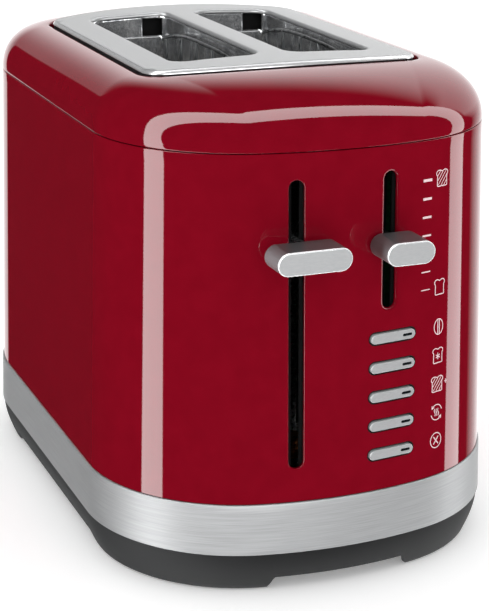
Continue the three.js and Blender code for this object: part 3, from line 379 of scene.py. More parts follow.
def inside(loop, points):
    """Which points lie inside a closed loop: an odd number of its edges lie to their right."""
    x, y = points[:, :1], points[:, 1:]
    ax, ay = loop.T
    bx, by = np.roll(ax, -1), np.roll(ay, -1)
    with np.errstate(divide="ignore", invalid="ignore"):
        at = (bx - ax) * (y - ay) / (by - ay) + ax
    return (((ay > y) != (by > y)) & (x < at)).sum(1) % 2 == 1


def holed_sheet(outer, holes, spacing):
    """Triangles over a flat outline with holes, through a square grid of points that keeps clear of
    the loops. The loops stay as edges. Returns (flat points, triangles)."""
    low, high = outer.min(0), outer.max(0)
    gx, gy = (np.arange(a + spacing / 2, b, spacing) for a, b in zip(low, high, strict=True))
    grid = np.stack(np.meshgrid(gx, gy), -1).reshape(-1, 2)
    keep = inside(grown(outer, -0.5 * spacing), grid)
    for hole in holes:
        keep &= ~inside(grown(hole, 0.6 * spacing), grid)
    loops = [outer, *holes]
    edges, start = [], 0
    for loop in loops:
        edges += [(start + i, start + (i + 1) % len(loop)) for i in range(len(loop))]
        start += len(loop)
    points = [Vector(p) for p in np.vstack([*loops, grid[keep]])]
    flat, _, faces, *_ = delaunay_2d_cdt(points, edges, [], 0, 1e-5)
    flat = np.array([tuple(p) for p in flat])
    faces = np.array([f for f in faces if len(f) == 3])
    centre = flat[faces].mean(1)
    good = inside(outer, centre)
    for hole in holes:
        good &= ~inside(hole, centre)
    faces = faces[good]
    a, b, c = (flat[faces[:, k]] for k in range(3))
    turned = (b - a)[:, 0] * (c - a)[:, 1] < (b - a)[:, 1] * (c - a)[:, 0]
    faces[turned] = faces[turned][:, ::-1]
    return flat, faces.tolist()


LIFT_X, BROWN_X = (sum(mm_box(node))[0] / 2 for node in ("lift_knob", "browning_knob"))
LIFT_SLOT = (6.0, 51.7, 165.3)  # width, bottom and top
BROWN_SLOT = (5.6, 112.1, 165.5)
BUTTON_NAMES = ("bagel", "frozen", "extra_time", "reheat", "cancel")
BUTTON_X = 19.5
BUTTON_Z = [sum(mm_box("lamp_" + name))[2] / 2 for name in BUTTON_NAMES]
BUTTON_SIZE = (20.9, 4.8)
BUTTON_GAP = 0.35
HOLE_DEPTH = 1.8


def slider_hole(x, slot):
    """A slider's slot on the front, as a loop of (arc length, height)."""
    width, low, high = slot
    loop = stadium(width, high - low, 180) + [x, (low + high) / 2]
    return np.c_[front_s(loop[:, 0], loop[:, 1]), loop[:, 1]]


# A button's hole, about its own middle.
BUTTON_HOLE = stadium(*(v + 2 * BUTTON_GAP for v in BUTTON_SIZE), 96)


def frame_loop(columns, rows):
    """The edge of a rectangle of columns and rows, anticlockwise."""
    low, high = np.full(len(columns), rows[0]), np.full(len(columns), rows[-1])
    left, right = np.full(len(rows), columns[0]), np.full(len(rows), columns[-1])
    sides = [np.c_[columns, low], np.c_[right, rows][1:], np.c_[columns, high][-2::-1]]
    return np.vstack([*sides, np.c_[left, rows][-2:0:-1]])


# Each hole, and the radius that its edge is rolled to.
HOLES = [(slider_hole(LIFT_X, LIFT_SLOT), 0.6), (slider_hole(BROWN_X, BROWN_SLOT), 1.5)]
HOLES += [(BUTTON_HOLE + [front_s(BUTTON_X, z), z], 0.2) for z in BUTTON_Z]

shell_rows = np.linspace(SHELL_LOW, SHELL_HIGH - SEAM_RADIUS, 36)
panel = np.linspace(-PANEL_HALF, PANEL_HALF, 23)
rest = np.linspace(PANEL_HALF, 4 * QUARTER - PANEL_HALF, 381)
round_body = np.r_[panel, rest[1:-1]]
edges = [grown(hole, radius) for hole, radius in HOLES]
flat, triangles = holed_sheet(frame_loop(panel, shell_rows), edges, SHEET_GRID)
groups = [(on_wall(flat[:, 0], flat[:, 1]), triangles)]
for hole, radius in HOLES:
    rings = [on_wall(*grown(hole, spread).T, sink) for spread, sink in rounding(radius, 7)]
    groups.append(stacked([*rings, on_wall(*hole.T, HOLE_DEPTH)]))
groups.append(stacked([on_wall(rest, z) for z in shell_rows], closed=False))
rings = [on_wall(round_body, SHELL_HIGH - spread, sink) for spread, sink in rounding(SEAM_RADIUS)]
groups.append(stacked([*rings, on_wall(round_body, SHELL_HIGH, SEAM_LEDGE)]))
groups.append(stacked([on_wall(round_body, SHELL_LOW, inwards) for inwards in (SHELL_HEM, 0.0)]))


def grained(name, dark, light, grain, roughness, swing, depth, stretch=(1, 1, 1), detail=2.0, **shader):
    """A finish with a real grain: noise of grain millimetres, longer by stretch along each axis,
    mixes two colours, swings the roughness and lifts the surface by depth millimetres."""
    look, tree, place = new_look(name)
    scale = [1 / (grain * MM * longer) for longer in stretch]
    turned = add_node(tree, "ShaderNodeMapping", {"Vector": place, "Scale": scale}).outputs[0]
    noise = add_node(
        tree, "ShaderNodeTexNoise", {"Vector": turned, "Scale": 1.0, "Detail": detail}
    ).outputs[0]
    spread = add_node(tree, RANGE, {"Value": noise, "From Min": 0.3, "From Max": 0.7}).outputs[0]
    colours = {0: spread, 6: linear(dark), 7: linear(light)}
    colour = add_node(tree, "ShaderNodeMix", colours, data_type="RGBA").outputs[2]
    limits = {"Value": spread, "To Min": roughness - swing, "To Max": roughness + swing}
    rough = add_node(tree, RANGE, limits).outputs[0]
    lift = {"Height": noise, "Strength": 0.5, "Distance": depth * MM}
    normal = add_node(tree, "ShaderNodeBump", lift).outputs[0]
    inputs = {"Base Color": colour, "Roughness": rough, "Normal": normal}
    inputs |= {key.replace("_", " "): value for key, value in shader.items()}
    surface = add_node(tree, "ShaderNodeBsdfPrincipled", inputs).outputs[0]
    add_node(tree, "ShaderNodeOutputMaterial", {"Surface": surface})
    return look


# Baked enamel on steel: a smooth glassy coat, with a faint orange-peel ripple 8 mm long.
enamel = grained(
    "gloss_baked_enamel", "#7D071A", "#82081C", 8.0, 0.03, 0.004, 0.0015, detail=1.0, IOR=1.5
)
new_piece("enamelled_shell", groups, "housing", enamel, ["body_shell"], wall=SHELL_WALL)

# ------------------------------------------------------------------ top cap
# A second enamelled pressing, which stands on the shell and rolls over to a groove round the plate,
# where its edge turns down. Its foot is rounded too, so the joint shows as a fine dark line.
low, high = mm_box("top_plate")
PLATE_HALF_WIDTH, PLATE_HALF_LENGTH = (high - low)[:2] / 2
PLATE_CENTRE_Y = (low + high)[1] / 2
PLATE_TOP = high[2]
PLATE_RADII = (156.0, 12.0)  # its bowed ends and its corners
PLATE_CROWN = 2.4
GROOVE = 1.8
CAP_FOOT = mm_box("top_cap")[0][2]
CAP_DROP = 1.4  # the cap's shoulder lies this far under the plate's top
CAP_REACH = 0.985  # of the way in to the groove, the shoulder ends, and the lip rolls over
CAP_LIP_RADIUS = 1.1
CAP_LIP_DEPTH = 9.0
CAP_SHEET = 1.2


def bowed_loop(half_width, half_length, end_radius, corner_radius, counts):
    """The same kind of outline as the body's, for any size, anticlockwise from the middle of the
    front, with counts points on each end arc, corner arc and straight side."""
    corner_x = half_width - corner_radius
    corner_y = end_radius - half_length - math.sqrt((end_radius - corner_radius) ** 2 - corner_x**2)
    sweep = math.atan2(corner_x, end_radius - half_length - corner_y)
    a = np.linspace(0, sweep, counts[0] + 1)
    b = np.linspace(sweep, math.pi / 2, counts[1] + 1)[1:]
    side = np.linspace(corner_y, 0, counts[2] + 1)[1:]
    end = np.c_[end_radius * np.sin(a), end_radius - half_length - end_radius * np.cos(a)]
    corner = np.c_[corner_x + corner_radius * np.sin(b), corner_y - corner_radius * np.cos(b)]
    quarter = np.vstack([end, corner, np.c_[np.full(len(side), half_width), side]])
    right = np.vstack([quarter, quarter[-2::-1] * [1, -1]])
    return np.vstack([right, right[-2:0:-1] * [-1, 1]])


def plate_loop(grow, counts):
    """The top plate's outline, moved outwards by grow."""
    sizes = (PLATE_HALF_WIDTH, PLATE_HALF_LENGTH, *PLATE_RADII)
    return bowed_loop(*(v + grow for v in sizes), counts) + [0, PLATE_CENTRE_Y]


def crown(x, drop=0.0):
    """Height of the crowned top: it falls with the square of the distance from the middle."""
    return PLATE_TOP - drop - PLATE_CROWN * (x / PLATE_HALF_WIDTH) ** 2


CAP_COUNTS = (40, 44, 26)
SOFTENING = 260
body_sizes = (BODY_HALF_WIDTH, BODY_HALF_LENGTH, END_RADIUS, CORNER_RADIUS)
foot = bowed_loop(*body_sizes, CAP_COUNTS) + [0, BODY_CENTRE_Y]
foot = grown(foot, -DRAFT * CAP_FOOT)
rim = plate_loop(GROOVE, CAP_COUNTS)
rings = [np.c_[grown(foot, -SEAM_LEDGE), np.full(len(foot), CAP_FOOT)]]
for spread, sink in rounding(SEAM_RADIUS)[::-1]:
    rings.append(np.c_[grown(foot, -sink), np.full(len(foot), CAP_FOOT + spread)])
# The wall goes up as a sine and in as one minus a cosine. It first heads in by a reach that is
# averaged round the outline, so the corners stay soft, and ends at the groove's own outline.
start = CAP_FOOT + SEAM_RADIUS
shoulder = crown(rim[:, 0], CAP_DROP)
reach = rim - foot
softened = reach
for _ in range(SOFTENING):
    softened = (np.roll(softened, 1, 0) + softened + np.roll(softened, -1, 0)) / 3
for a in np.linspace(0, math.pi / 2, 46)[1:]:
    t = a / (math.pi / 2)
    share = t**3 * (10 - 15 * t + 6 * t * t)
    xy = foot + (softened + (reach - softened) * share) * (1 - math.cos(a)) * CAP_REACH
    rings.append(np.c_[xy, start + (shoulder - start) * math.sin(a)])
edge = rings[-1]
for spread, sink in rounding(1.0)[1:]:
    xy = rim + (edge[:, :2] - rim) * spread
    rings.append(np.c_[xy, edge[:, 2] - CAP_LIP_RADIUS * sink])
rings.append(np.c_[rim, edge[:, 2] - CAP_LIP_DEPTH])
new_piece(
    "enamelled_cap", [stacked(rings)], "housing", enamel, ["top_cap"], wall=CAP_SHEET
)

# ------------------------------------------------------------------ top plate
# A stainless steel pressing brushed along its length, with a bright bevel round it and two bread slots with
# lips rolled down.
SLOT_X = 24.6
SLOT_Y = PLATE_CENTRE_Y + 2.0
SLOT_SIZE = (37.0, 118.0, 7.0)  # width, length and corner radius
SLOT_LIP = 1.9
LIP_RADIUS = 1.3
OPENING = (7.5, 16.8)  # across, from a slot's middle
BEVEL = 0.8
PLATE_SHEET = 0.9
PLATE_COUNTS = (24, 12, 24)


def slot_loop(side, grow=0.0):
    """A slot's outline: a rectangle with rounded corners, anticlockwise, moved outwards by grow."""
    width, length, radius = (v + g for v, g in zip(SLOT_SIZE, (2 * grow, 2 * grow, grow), strict=True))
    x, y = width / 2 - radius, length / 2 - radius
    parts = []
    centres = [(x, -y), (x, y), (-x, y), (-x, -y)]
    for k, (cx, cy) in enumerate(centres):
        turn = np.linspace(0, math.pi / 2, 11) + (k - 1) * math.pi / 2
        arc = np.c_[cx + radius * np.cos(turn), cy + radius * np.sin(turn)]
        nx, ny = centres[(k + 1) % 4]
        following = np.array([nx + radius * math.cos(turn[-1]), ny + radius * math.sin(turn[-1])])
        s = np.linspace(0, 1, 31)[1:-1, None]
        parts += [arc, arc[-1] * (1 - s) + following * s]
    return np.vstack(parts) + [side * SLOT_X, SLOT_Y]


def at_opening(points, side):
    """Which points of a slot's wall are at the opening in its far end."""
    x = points[:, 0] - side * SLOT_X
    return (points[:, 1] > SLOT_Y) & (x > OPENING[0]) & (x < OPENING[1])


def crowned(loop, drop):
    """A flat loop laid at the crowned top, and lowered by drop."""
    return np.c_[loop, crown(loop[:, 0], drop)]


outline = plate_loop(-BEVEL, PLATE_COUNTS)
flat, triangles = holed_sheet(outline, [slot_loop(side, LIP_RADIUS) for side in (-1, 1)], SHEET_GRID)
groups = [(crowned(flat, 0.0), triangles)]
for side in (-1, 1):
    rings = [crowned(slot_loop(side, spread), sink) for spread, sink in rounding(LIP_RADIUS, 8)]
    groups.append(stacked([*rings, crowned(slot_loop(side), SLOT_LIP)]))

# Belt-brushed stainless steel: straight grain along the plate, drawn 0.4 mm wide so that it shows.
plate_steel = grained(
    "belt_brushed_stainless", "#A0A1A2", "#ABACAD", 0.4, 0.36, 0.03, 0.003, (1, 50, 1), 3.0, Metallic=0.6
)
new_piece(
    "steel_top_plate", groups, "housing", plate_steel, ["top_plate"], sharp=25.0,
    wall=PLATE_SHEET, metal=True,
)

# The plate's edge is turned down: a bevel polished bright, then a short upright face. Each step is
# how far it is from the plate's outline, and how far under the top.
edge = ((-0.3, 1.3), (0.0, 1.2), (0.0, 0.9), (-0.1, 0.72), (-BEVEL + 0.1, 0.08), (-BEVEL, 0.0))
rings = [crowned(plate_loop(grow, PLATE_COUNTS), drop) for grow, drop in edge]
# Buffed stainless steel: bright and nearly smooth, with soft clouds 1.5 mm wide.
polished_steel = grained(
    "polished_stainless_edge", "#C2C3C4", "#CCCDCE", 1.5, 0.22, 0.03, 0.001, Metallic=0.6
)
new_piece(
    "polished_plate_edge", [stacked(rings)], "housing", polished_steel, sharp=60.0,
    metal=True,
)
# Under the bevel a black rubber gasket stands in the groove between the plate and the cap. Rubber is
# matt, with a dusty tooth that is drawn 0.6 mm wide so that it shows.
rubber = grained("black_moulded_rubber", "#08080A", "#101012", 0.6, 0.75, 0.08, 0.01)
rings = [crowned(plate_loop(-0.35, PLATE_COUNTS), drop) for drop in (5.2, 1.0)]
new_piece("plate_gasket", [stacked(rings)], "housing", rubber)

# ------------------------------------------------------------------ slot liners
# Thin bright sleeves under the plate's lips, rubbed and heat-stained, each with an opening in its far
# end. A baffle with a folded top edge stands in front of the far end.
LINER_LOW = mm_box("slot_liner_left")[0][2]
LINER_SHEET = 0.6
LINER_ROWS = (LINER_LOW, 180.0, 186.0)
OPENING_FLOOR = 188.9
OPENING_TOP = LINER_LOW + 24.0
FAR_END = SLOT_Y + SLOT_SIZE[1] / 2
BAFFLE_LOW, BAFFLE_TOP = 174.0, 188.6
BAFFLE_HALF = 15.3
BAFFLE_PLACE = FAR_END - 0.9  # the middle of its fold
FOLD_RADIUS = 0.35
SHADE_PLACE = FAR_END + 1.0
SHADE_ROWS = (186.0, 190.0, 194.0, 198.0)


def rubbed_steel(name, dark, light):
    """Bright steel gone cloudy with heat and rubbing: two sizes of cloud, 6 mm and 1.2 mm, mix the
    colours, roughen the gloss and bend it."""
    look, tree, place = new_look(name)
    clouds, specks = (
        add_node(tree, "ShaderNodeTexNoise", {"Vector": place, "Scale": scale, "Detail": detail}).outputs[0]
        for scale, detail in ((160.0, 4.0), (800.0, 2.0))
    )
    both = add_node(tree, MATH, {0: clouds, 1: specks}, operation="MULTIPLY").outputs[0]
    spread = add_node(tree, RANGE, {"Value": both, "From Min": 0.14, "From Max": 0.38}).outputs[0]
    colours = {0: spread, 6: linear(dark), 7: linear(light)}
    colour = add_node(tree, "ShaderNodeMix", colours, data_type="RGBA").outputs[2]
    rough = add_node(tree, RANGE, {"Value": spread, "To Min": 0.2, "To Max": 0.07}).outputs[0]
    lift = {"Height": clouds, "Strength": 0.3, "Distance": 0.0003}
    normal = add_node(tree, "ShaderNodeBump", lift).outputs[0]
    inputs = {"Base Color": colour, "Roughness": rough, "Normal": normal, "Metallic": 0.8}
    surface = add_node(tree, "ShaderNodeBsdfPrincipled", inputs).outputs[0]
    add_node(tree, "ShaderNodeOutputMaterial", {"Surface": surface})
    return look


# A flat black sheet with a fine tooth, painted shade for the dark pocket behind each slot's opening.
painted_shade_sheet = grained("painted_shade_black_sheet", "#060607", "#0B0B0C", 0.6, 0.8, 0.05, 0.004)
# Bright steel sheet, stained grey by heat.
liner_steel = rubbed_steel("heat_stained_bright_steel", "#85878A", "#DCDDDE")
# The baffle's profile in (y, z): its face from the foot up, then the fold and a little way down
# behind it.
fold_z = BAFFLE_TOP - FOLD_RADIUS
face = np.c_[np.full(8, BAFFLE_PLACE - FOLD_RADIUS), np.linspace(BAFFLE_LOW, fold_z, 8)]
turn = np.linspace(0, math.pi, 9)
fold = np.c_[BAFFLE_PLACE - FOLD_RADIUS * np.cos(turn), fold_z + FOLD_RADIUS * np.sin(turn)]
fold = np.vstack([fold, [BAFFLE_PLACE + FOLD_RADIUS, 186.5]])


def upright_sheet(x, profile):
    """A sheet across the slot: each (y, z) of its profile carried along x."""
    return stacked([np.c_[x, np.full(len(x), y), np.full(len(x), z)] for y, z in profile], closed=False)


for side, word in ((-1, "left"), (1, "right")):
    loop = slot_loop(side, LINER_SHEET)
    rings = [np.c_[loop, np.full(len(loop), z)] for z in (*LINER_ROWS, OPENING_FLOOR)]
    rings += [crowned(loop, drop) for drop in (2.6, SLOT_LIP - 0.2)]
    points, faces = stacked(rings)
    middles = points[np.array(faces)].mean(1)
    cut = at_opening(middles, side) & (middles[:, 2] > OPENING_FLOOR) & (middles[:, 2] < OPENING_TOP)
    faces = [quad for quad, gone in zip(faces, cut, strict=True) if not gone]
    new_piece(
        "liner_" + word, [(points, faces)], "housing", liner_steel, ["slot_liner_" + word],
        wall=LINER_SHEET, metal=True,
    )
    across = side * SLOT_X + np.linspace(-BAFFLE_HALF, BAFFLE_HALF, 25)
    for part, profile, look in (("face", face, liner_steel), ("fold", fold, polished_steel)):
        new_piece(
            f"baffle_{part}_{word}", [upright_sheet(across, profile)], "housing", look,
            metal=True,
        )
    # A black sheet stands behind the opening as painted shade, where the pocket is dark.
    across = side * SLOT_X + np.linspace(OPENING[0] - 1.5, OPENING[1] + 2.5, 12)
    new_piece(
        "painted_shade_sheet_" + word, [upright_sheet(across, [(SHADE_PLACE, z) for z in SHADE_ROWS])],
        "housing", painted_shade_sheet, wall=0.4,
    )

# ------------------------------------------------------------------ toasting chamber
# Bright steel end plates and shields hold three mica cards wound with heating ribbon. Round wire
# guides close in on the bread when the lift goes down, and toothed racks carry it.
GUIDE_RADIUS = 0.8
GUIDE_UPRIGHT_RADIUS = 0.7
GUIDE_LOW = mm_box("bread_guide_left_a")[0][2] + GUIDE_RADIUS
GUIDE_HIGH = mm_box("bread_guide_left_a")[1][2] - GUIDE_RADIUS
GUIDE_HALF = 54.0
GUIDE_DROP = 6.0


def tube(path, radius, sides=10):
    """A round wire along a path: circles square to the path's own direction, carried without twist,
    with a rounded end. Returns (points, faces)."""
    path = np.asarray(path, float)
    along = np.gradient(path, axis=0)
    along /= np.linalg.norm(along, axis=1)[:, None]
    steady = np.array([1.0, 0, 0]) if abs(along[:, 0]).max() < 0.9 else np.array([0, 1.0, 0])
    first = np.cross(along, steady)
    first /= np.linalg.norm(first, axis=1)[:, None]
    second = np.cross(along, first)
    ends = [
        [(path[k] + sign * along[k] * radius * a, radius * b, k) for a, b in ((0.55, 0.8), (0.9, 0.35))]
        for k, sign in ((0, -1), (-1, 1))
    ]
    rows = [*ends[0][::-1], *((point, radius, k) for k, point in enumerate(path)), *ends[1]]
    a = np.arange(sides)[:, None] / sides * 2 * math.pi
    return capped([c + r * (np.cos(a) * first[k] + np.sin(a) * second[k]) for c, r, k in rows])


# Steel wire dulled by heat: bright along its length, with a drawn streak 5 mm long.
guide_steel = grained(
    "heat_dulled_wire", "#77797A", "#A3A4A5", 0.6, 0.3, 0.05, 0.004, (1, 8, 8), Metallic=1.0
)
for side, word in ((-1, "left"), (1, "right")):
    for letter in "ab":
        node = f"bread_guide_{word}_{letter}"
        low, high = mm_box(node)
        x = (low[0] + high[0]) / 2
        y = np.linspace(SLOT_Y - GUIDE_HALF, SLOT_Y + GUIDE_HALF, 33)
        rail_z = GUIDE_HIGH - GUIDE_DROP * np.abs((y - SLOT_Y) / GUIDE_HALF) ** 3
        groups = [tube(np.c_[np.full(33, x), y, rail_z], GUIDE_RADIUS)]
        foot_y = np.linspace(low[1] + 1, high[1] - 1, 12)
        groups.append(tube(np.c_[np.full(12, x), foot_y, np.full(12, GUIDE_LOW)], GUIDE_RADIUS))
        for upright in np.linspace(y[0] + 4, y[-1] - 4, 6):
            top = np.interp(upright, y, rail_z)
            height = np.linspace(GUIDE_LOW, top, 8)
            path = np.c_[np.full(8, x), np.full(8, upright), height]
            groups.append(tube(path, GUIDE_UPRIGHT_RADIUS))
        new_piece("wire_" + node, groups, f"guide_{word}_{letter}", guide_steel, [node])


def refinish(look, *nodes):
    """Gives nodes that keep their own shape a finish."""
    for name in nodes:
        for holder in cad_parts[name].material_slots:
            holder.material = look


# Sheet steel that the heat has tinted brown and grey.
chamber_steel = rubbed_steel("heat_tinted_sheet_steel", "#4A4845", "#9FA0A0")
refinish(
    chamber_steel, "front_end_plate", "rear_end_plate", "heat_shield_left", "heat_shield_right",
    "bread_rack_left", "bread_rack_right",
)
# Mica board: pressed flakes 2 mm wide, silvery buff, with a pearly gloss.
mica = grained("pressed_mica", "#A89C82", "#CFC5AD", 2.0, 0.45, 0.12, 0.02)
refinish(mica, "heater_card_left", "heater_card_centre", "heater_card_right")
# Nickel-chrome ribbon: rolled, and dulled to a brown grey by heat.
nichrome = grained(
    "heat_dulled_nichrome", "#4E4A46", "#7A736C", 0.8, 0.5, 0.1, 0.003, (6, 6, 1), Metallic=1.0
)
refinish(nichrome, "heater_ribbon_left", "heater_ribbon_centre", "heater_ribbon_right")

# ------------------------------------------------------------------ lift
# A spring pulls a moulded carriage up a ground rod, and an iron plate under it is held down by an
# electromagnet. Its arm comes out through the shell to a knob of drawn and anodised aluminium.
RIM = 0.5
KNOB_BACK_RADIUS = 0.6
KNOB_POINTS = 128
# Glass-filled nylon, moulded: black, half matt, with a fine mould grain.
black_plastic = grained("moulded_black_nylon", "#0F0F10", "#1B1B1C", 0.5, 0.5, 0.06, 0.006, IOR=1.5)
# Zinc-plated steel: cool grey and bright, with faint crystals 1.5 mm wide.
bright_steel = grained("zinc_plated_steel", "#9FA2A4", "#C6C8CA", 1.5, 0.28, 0.06, 0.003, Metallic=1.0)
# Enamelled copper wire, wound in turns 0.5 mm high.
copper = grained(
    "enamelled_copper_winding", "#8A4A22", "#C07A45", 0.5, 0.3, 0.05, 0.03, (8, 8, 1), Metallic=1.0
)
refinish(black_plastic, "carriage")
refinish(bright_steel, "lift_arm", "guide_rod", "top_bracket", "latch_plate", "magnet_core")
refinish(copper, "magnet_coil")
metal_pieces.objects.link(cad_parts["lift_arm"])
# The spring: a wire wound round in nine even turns, from its bracket at the top down to the carriage.
SPRING_TURNS = 9
SPRING_WIRE = 0.55
low, high = mm_box("lift_spring")
middle = (low + high) / 2
turn = np.linspace(0, 2 * math.pi * SPRING_TURNS, SPRING_TURNS * 28 + 1)
radius = (high[0] - low[0]) / 2 - SPRING_WIRE
height = np.linspace(low[2] + SPRING_WIRE, high[2] - SPRING_WIRE, len(turn))
coil = np.c_[middle[0] + radius * np.cos(turn), middle[1] + radius * np.sin(turn), height]
wound = tube(coil, SPRING_WIRE, 8)
spring = new_piece("tension_spring", [wound], None, bright_steel, ["lift_spring"])
top, bottom = (tuple(np.array([*middle[:2], z]) * MM) for z in (high[2], low[2]))
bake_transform(spring)

# Bead-blasted and anodised: a fine even sparkle 0.3 mm across, drawn out a little along the piece.
satin = grained(
    "satin_anodised_aluminium", "#8F9091", "#969798", 0.3, 0.45, 0.03, 0.0008, (6, 1, 1), Metallic=0.4
)
# The sides of the knobs take a darker grey copy of the aluminium, painted shade for their darker tops, and
# are drawn smooth along their length.
shaded_side_satin = grained(
    "painted_shade_knob_aluminium", "#77787A", "#7D7E80", 0.3, 0.36, 0.02, 0.0004, (6, 30, 1), Metallic=0.8
)
# The rim is cut with a diamond after anodising, so it's bare, bright and pale.
polished = grained(
    "diamond_cut_aluminium_edge", "#CFD0D1", "#D8D9DA", 1.0, 0.25, 0.03, 0.001, Metallic=0.6
)


def knob(name, body, node):
    """A stadium bar: loops carried from the back of the knob to the front, rounded at the back, and
    rounded over in front by a narrow rim, which is a piece of its own round a flat face."""
    low, high = mm_box(node)
    size, middle = high - low, (low + high) / 2
    loop = stadium(size[0], size[2], KNOB_POINTS)

    def ring(grow, y):
        """The knob's outline grown by so much, standing at y."""
        xz = grown(loop, grow) + middle[[0, 2]]
        return np.c_[xz[:, 0], np.full(len(xz), y), xz[:, 1]]

    rings = [ring(-sink, high[1] - spread) for sink, spread in rounding(KNOB_BACK_RADIUS)]
    rings += [ring(0, y) for y in np.linspace(high[1] - KNOB_BACK_RADIUS, low[1] + RIM, 10)[1:]]
    bar = [capped(rings, last=False)]
    knob_sides.objects.link(new_piece(name, bar, body, shaded_side_satin, [node]))
    edge = [stacked([ring(-sink, low[1] + spread) for spread, sink in rounding(RIM)])]
    new_piece(name + "_rim", edge, body, polished, sharp=60.0, metal=True)
    face = [(ring(-RIM, low[1]), [list(range(KNOB_POINTS))])]
    new_piece(name + "_face", face, body, satin, metal=True)


knob("lift_handle", "lift", "lift_knob")

# ------------------------------------------------------------------ slider seals
# Behind each slider's slot two black rubber lips meet at the slider's arm and keep the crumbs and
# the light in.
SEAL_DEPTH = 2.3
SEAL_OVERLAP = (3, 5)  # past the slot's sides, and past its ends
SEAL_SHEET = 1.0


def seal(name, x, slot, arm):
    """Two flat strips just inside the wall, from past the slot's edge to the arm's side."""
    width, low, high = slot
    rows = np.linspace(low - SEAL_OVERLAP[1], high + SEAL_OVERLAP[1], 40)
    far = width / 2 + SEAL_OVERLAP[0]
    groups = []
    for a, b in ((-far, -arm), (arm, far)):
        across = np.linspace(a, b, 4) + x
        rings = [on_wall(front_s(across, z), z, SEAL_DEPTH) for z in rows]
        groups.append(stacked(rings, closed=False))
    new_piece(name, groups, "housing", rubber, wall=SEAL_SHEET)


seal("lift_seal", LIFT_X, LIFT_SLOT, 1.58)
seal("browning_seal", BROWN_X, BROWN_SLOT, 1.7)

# ------------------------------------------------------------------ browning slider
# A smaller knob of the same section on a moulded stem, which runs in a track on the control board.
knob("browning_handle", "browning_slider", "browning_knob")
refinish(black_plastic, "browning_stem", "browning_track", "switch_strip")
# Glass-fibre board under green solder resist, with a weave about 0.8 mm apart.
board = grained("green_resist_board", "#16482B", "#236B40", 0.8, 0.35, 0.05, 0.01, IOR=1.5)
refinish(board, "control_board")

# ------------------------------------------------------------------ buttons
# Five pressed pills of the same aluminium stand just proud of the shell, with a rounded edge. Each
# has a slit near its right end, with a smoked lens over a lamp.
BUTTON_PROUD = 0.6
PILL_SIZE = (20.2, 4.0)
BUTTON_BACK = 6.0
LINER_STEPS = ((-0.4, -4.5), (-0.4, -0.5), (-0.3, -0.35), (0.05, -0.3))  # from the hole, and out
LAMP_SHIFT = 6.4
LAMP_SIZE = (4.2, 1.0)
LAMP_GAP = 0.08
BUTTON_RADIUS = 0.5
LAMP_DEPTH = 2.0
LENS_LAP = 0.25  # the lens is wider than its slit by this, and lies this far under the face
# Smoked acrylic: clear and dark, with a glossy moulded face.
lens = grained("smoked_acrylic_lens", "#15191B", "#1E2427", 1.0, 0.12, 0.02, 0.001, IOR=1.49)


def on_face(across, up, out, z):
    """Square to the front where the button is: across from its middle, up, and out from the wall."""
    turn = math.asin(BUTTON_X / (END_RADIUS - DRAFT * z))
    across, up, out = np.broadcast_arrays(across, up, out)
    radius = END_RADIUS - DRAFT * z
    y = BODY_CENTRE_Y - BODY_HALF_LENGTH + END_RADIUS - radius * math.cos(turn)
    along, facing = (math.cos(turn), math.sin(turn)), (math.sin(turn), -math.cos(turn))
    x = BUTTON_X + across * along[0] + out * facing[0]
    return np.c_[x, y + across * along[1] + out * facing[1], z + up]


# A black rubber liner sits in each hole as painted shade, so the gap round the pill is dark like the shadow
# there.
groups = [
    stacked([on_face(*grown(BUTTON_HOLE, grow).T, out, z) for grow, out in LINER_STEPS])
    for z in BUTTON_Z
]
new_piece("button_shade_liners", groups, "housing", rubber)

for name, z in zip(BUTTON_NAMES, BUTTON_Z, strict=True):
    loop = stadium(*PILL_SIZE, 96)
    window, small = (
        stadium(LAMP_SIZE[0] + 2 * more, LAMP_SIZE[1] + 2 * more, 40) + [LAMP_SHIFT, 0]
        for more in (LAMP_GAP, LENS_LAP)
    )
    rings = [on_face(*loop.T, -BUTTON_BACK, z)]
    for spread, sink in rounding(BUTTON_RADIUS, 7):
        rings.append(on_face(*grown(loop, -sink).T, BUTTON_PROUD - spread, z))
    flat, triangles = holed_sheet(grown(loop, -BUTTON_RADIUS), [window], 1.2)
    groups = [stacked(rings), (on_face(flat[:, 0], flat[:, 1], BUTTON_PROUD, z), triangles)]
    depths = (BUTTON_PROUD, BUTTON_PROUD - LAMP_DEPTH)
    groups.append(stacked([on_face(*window.T, out, z) for out in depths]))
    body = "button_" + name
    new_piece("pill_" + name, groups, body, satin, [body], metal=True)
    rings = [on_face(*small.T, -LAMP_DEPTH, z)]
    for spread, sink in rounding(LENS_LAP):
        rings.append(on_face(*grown(small, -sink).T, BUTTON_PROUD - LENS_LAP - spread, z))
    glass = [capped(rings, first=False)]
    new_piece("lens_" + name, glass, body, lens, ["lamp_" + name])

# ------------------------------------------------------------------ printed marks
# Scale marks and pictures screen-printed on the enamel in off-white ink, a twentieth of a
# millimetre thick. The scale's marks grow thinner from dark toast down to light.
INK_RISE = 0.06
INK_WIDTH = 0.38
MARK_X = 41.6
TICK_X = (32.3, 36.5)
TICK_TOP = 160.1
TICK_PITCH = 7.23
TICK_WIDTH = (1.1, 0.12)  # of the top mark, and how much less each one below has
# Screen ink: a flat off-white, tinged by the red under it, with faint mottling 0.6 mm wide.
ink = grained("screen_printed_ink", "#EFCDD2", "#F5DBDE", 0.6, 0.55, 0.05, 0.004)


def stroke(path, width=INK_WIDTH, closed=False):
    """A flat ribbon along a path of (across, up): its two edges lie half a width to either side."""
    path = np.asarray(path, float)
    if closed:
        along = np.roll(path, -1, 0) - np.roll(path, 1, 0)
    else:
        along = np.gradient(path, axis=0)
    along /= np.linalg.norm(along, axis=1)[:, None]
    side = np.c_[along[:, 1], -along[:, 0]] * width / 2
    return path + side, path - side, closed


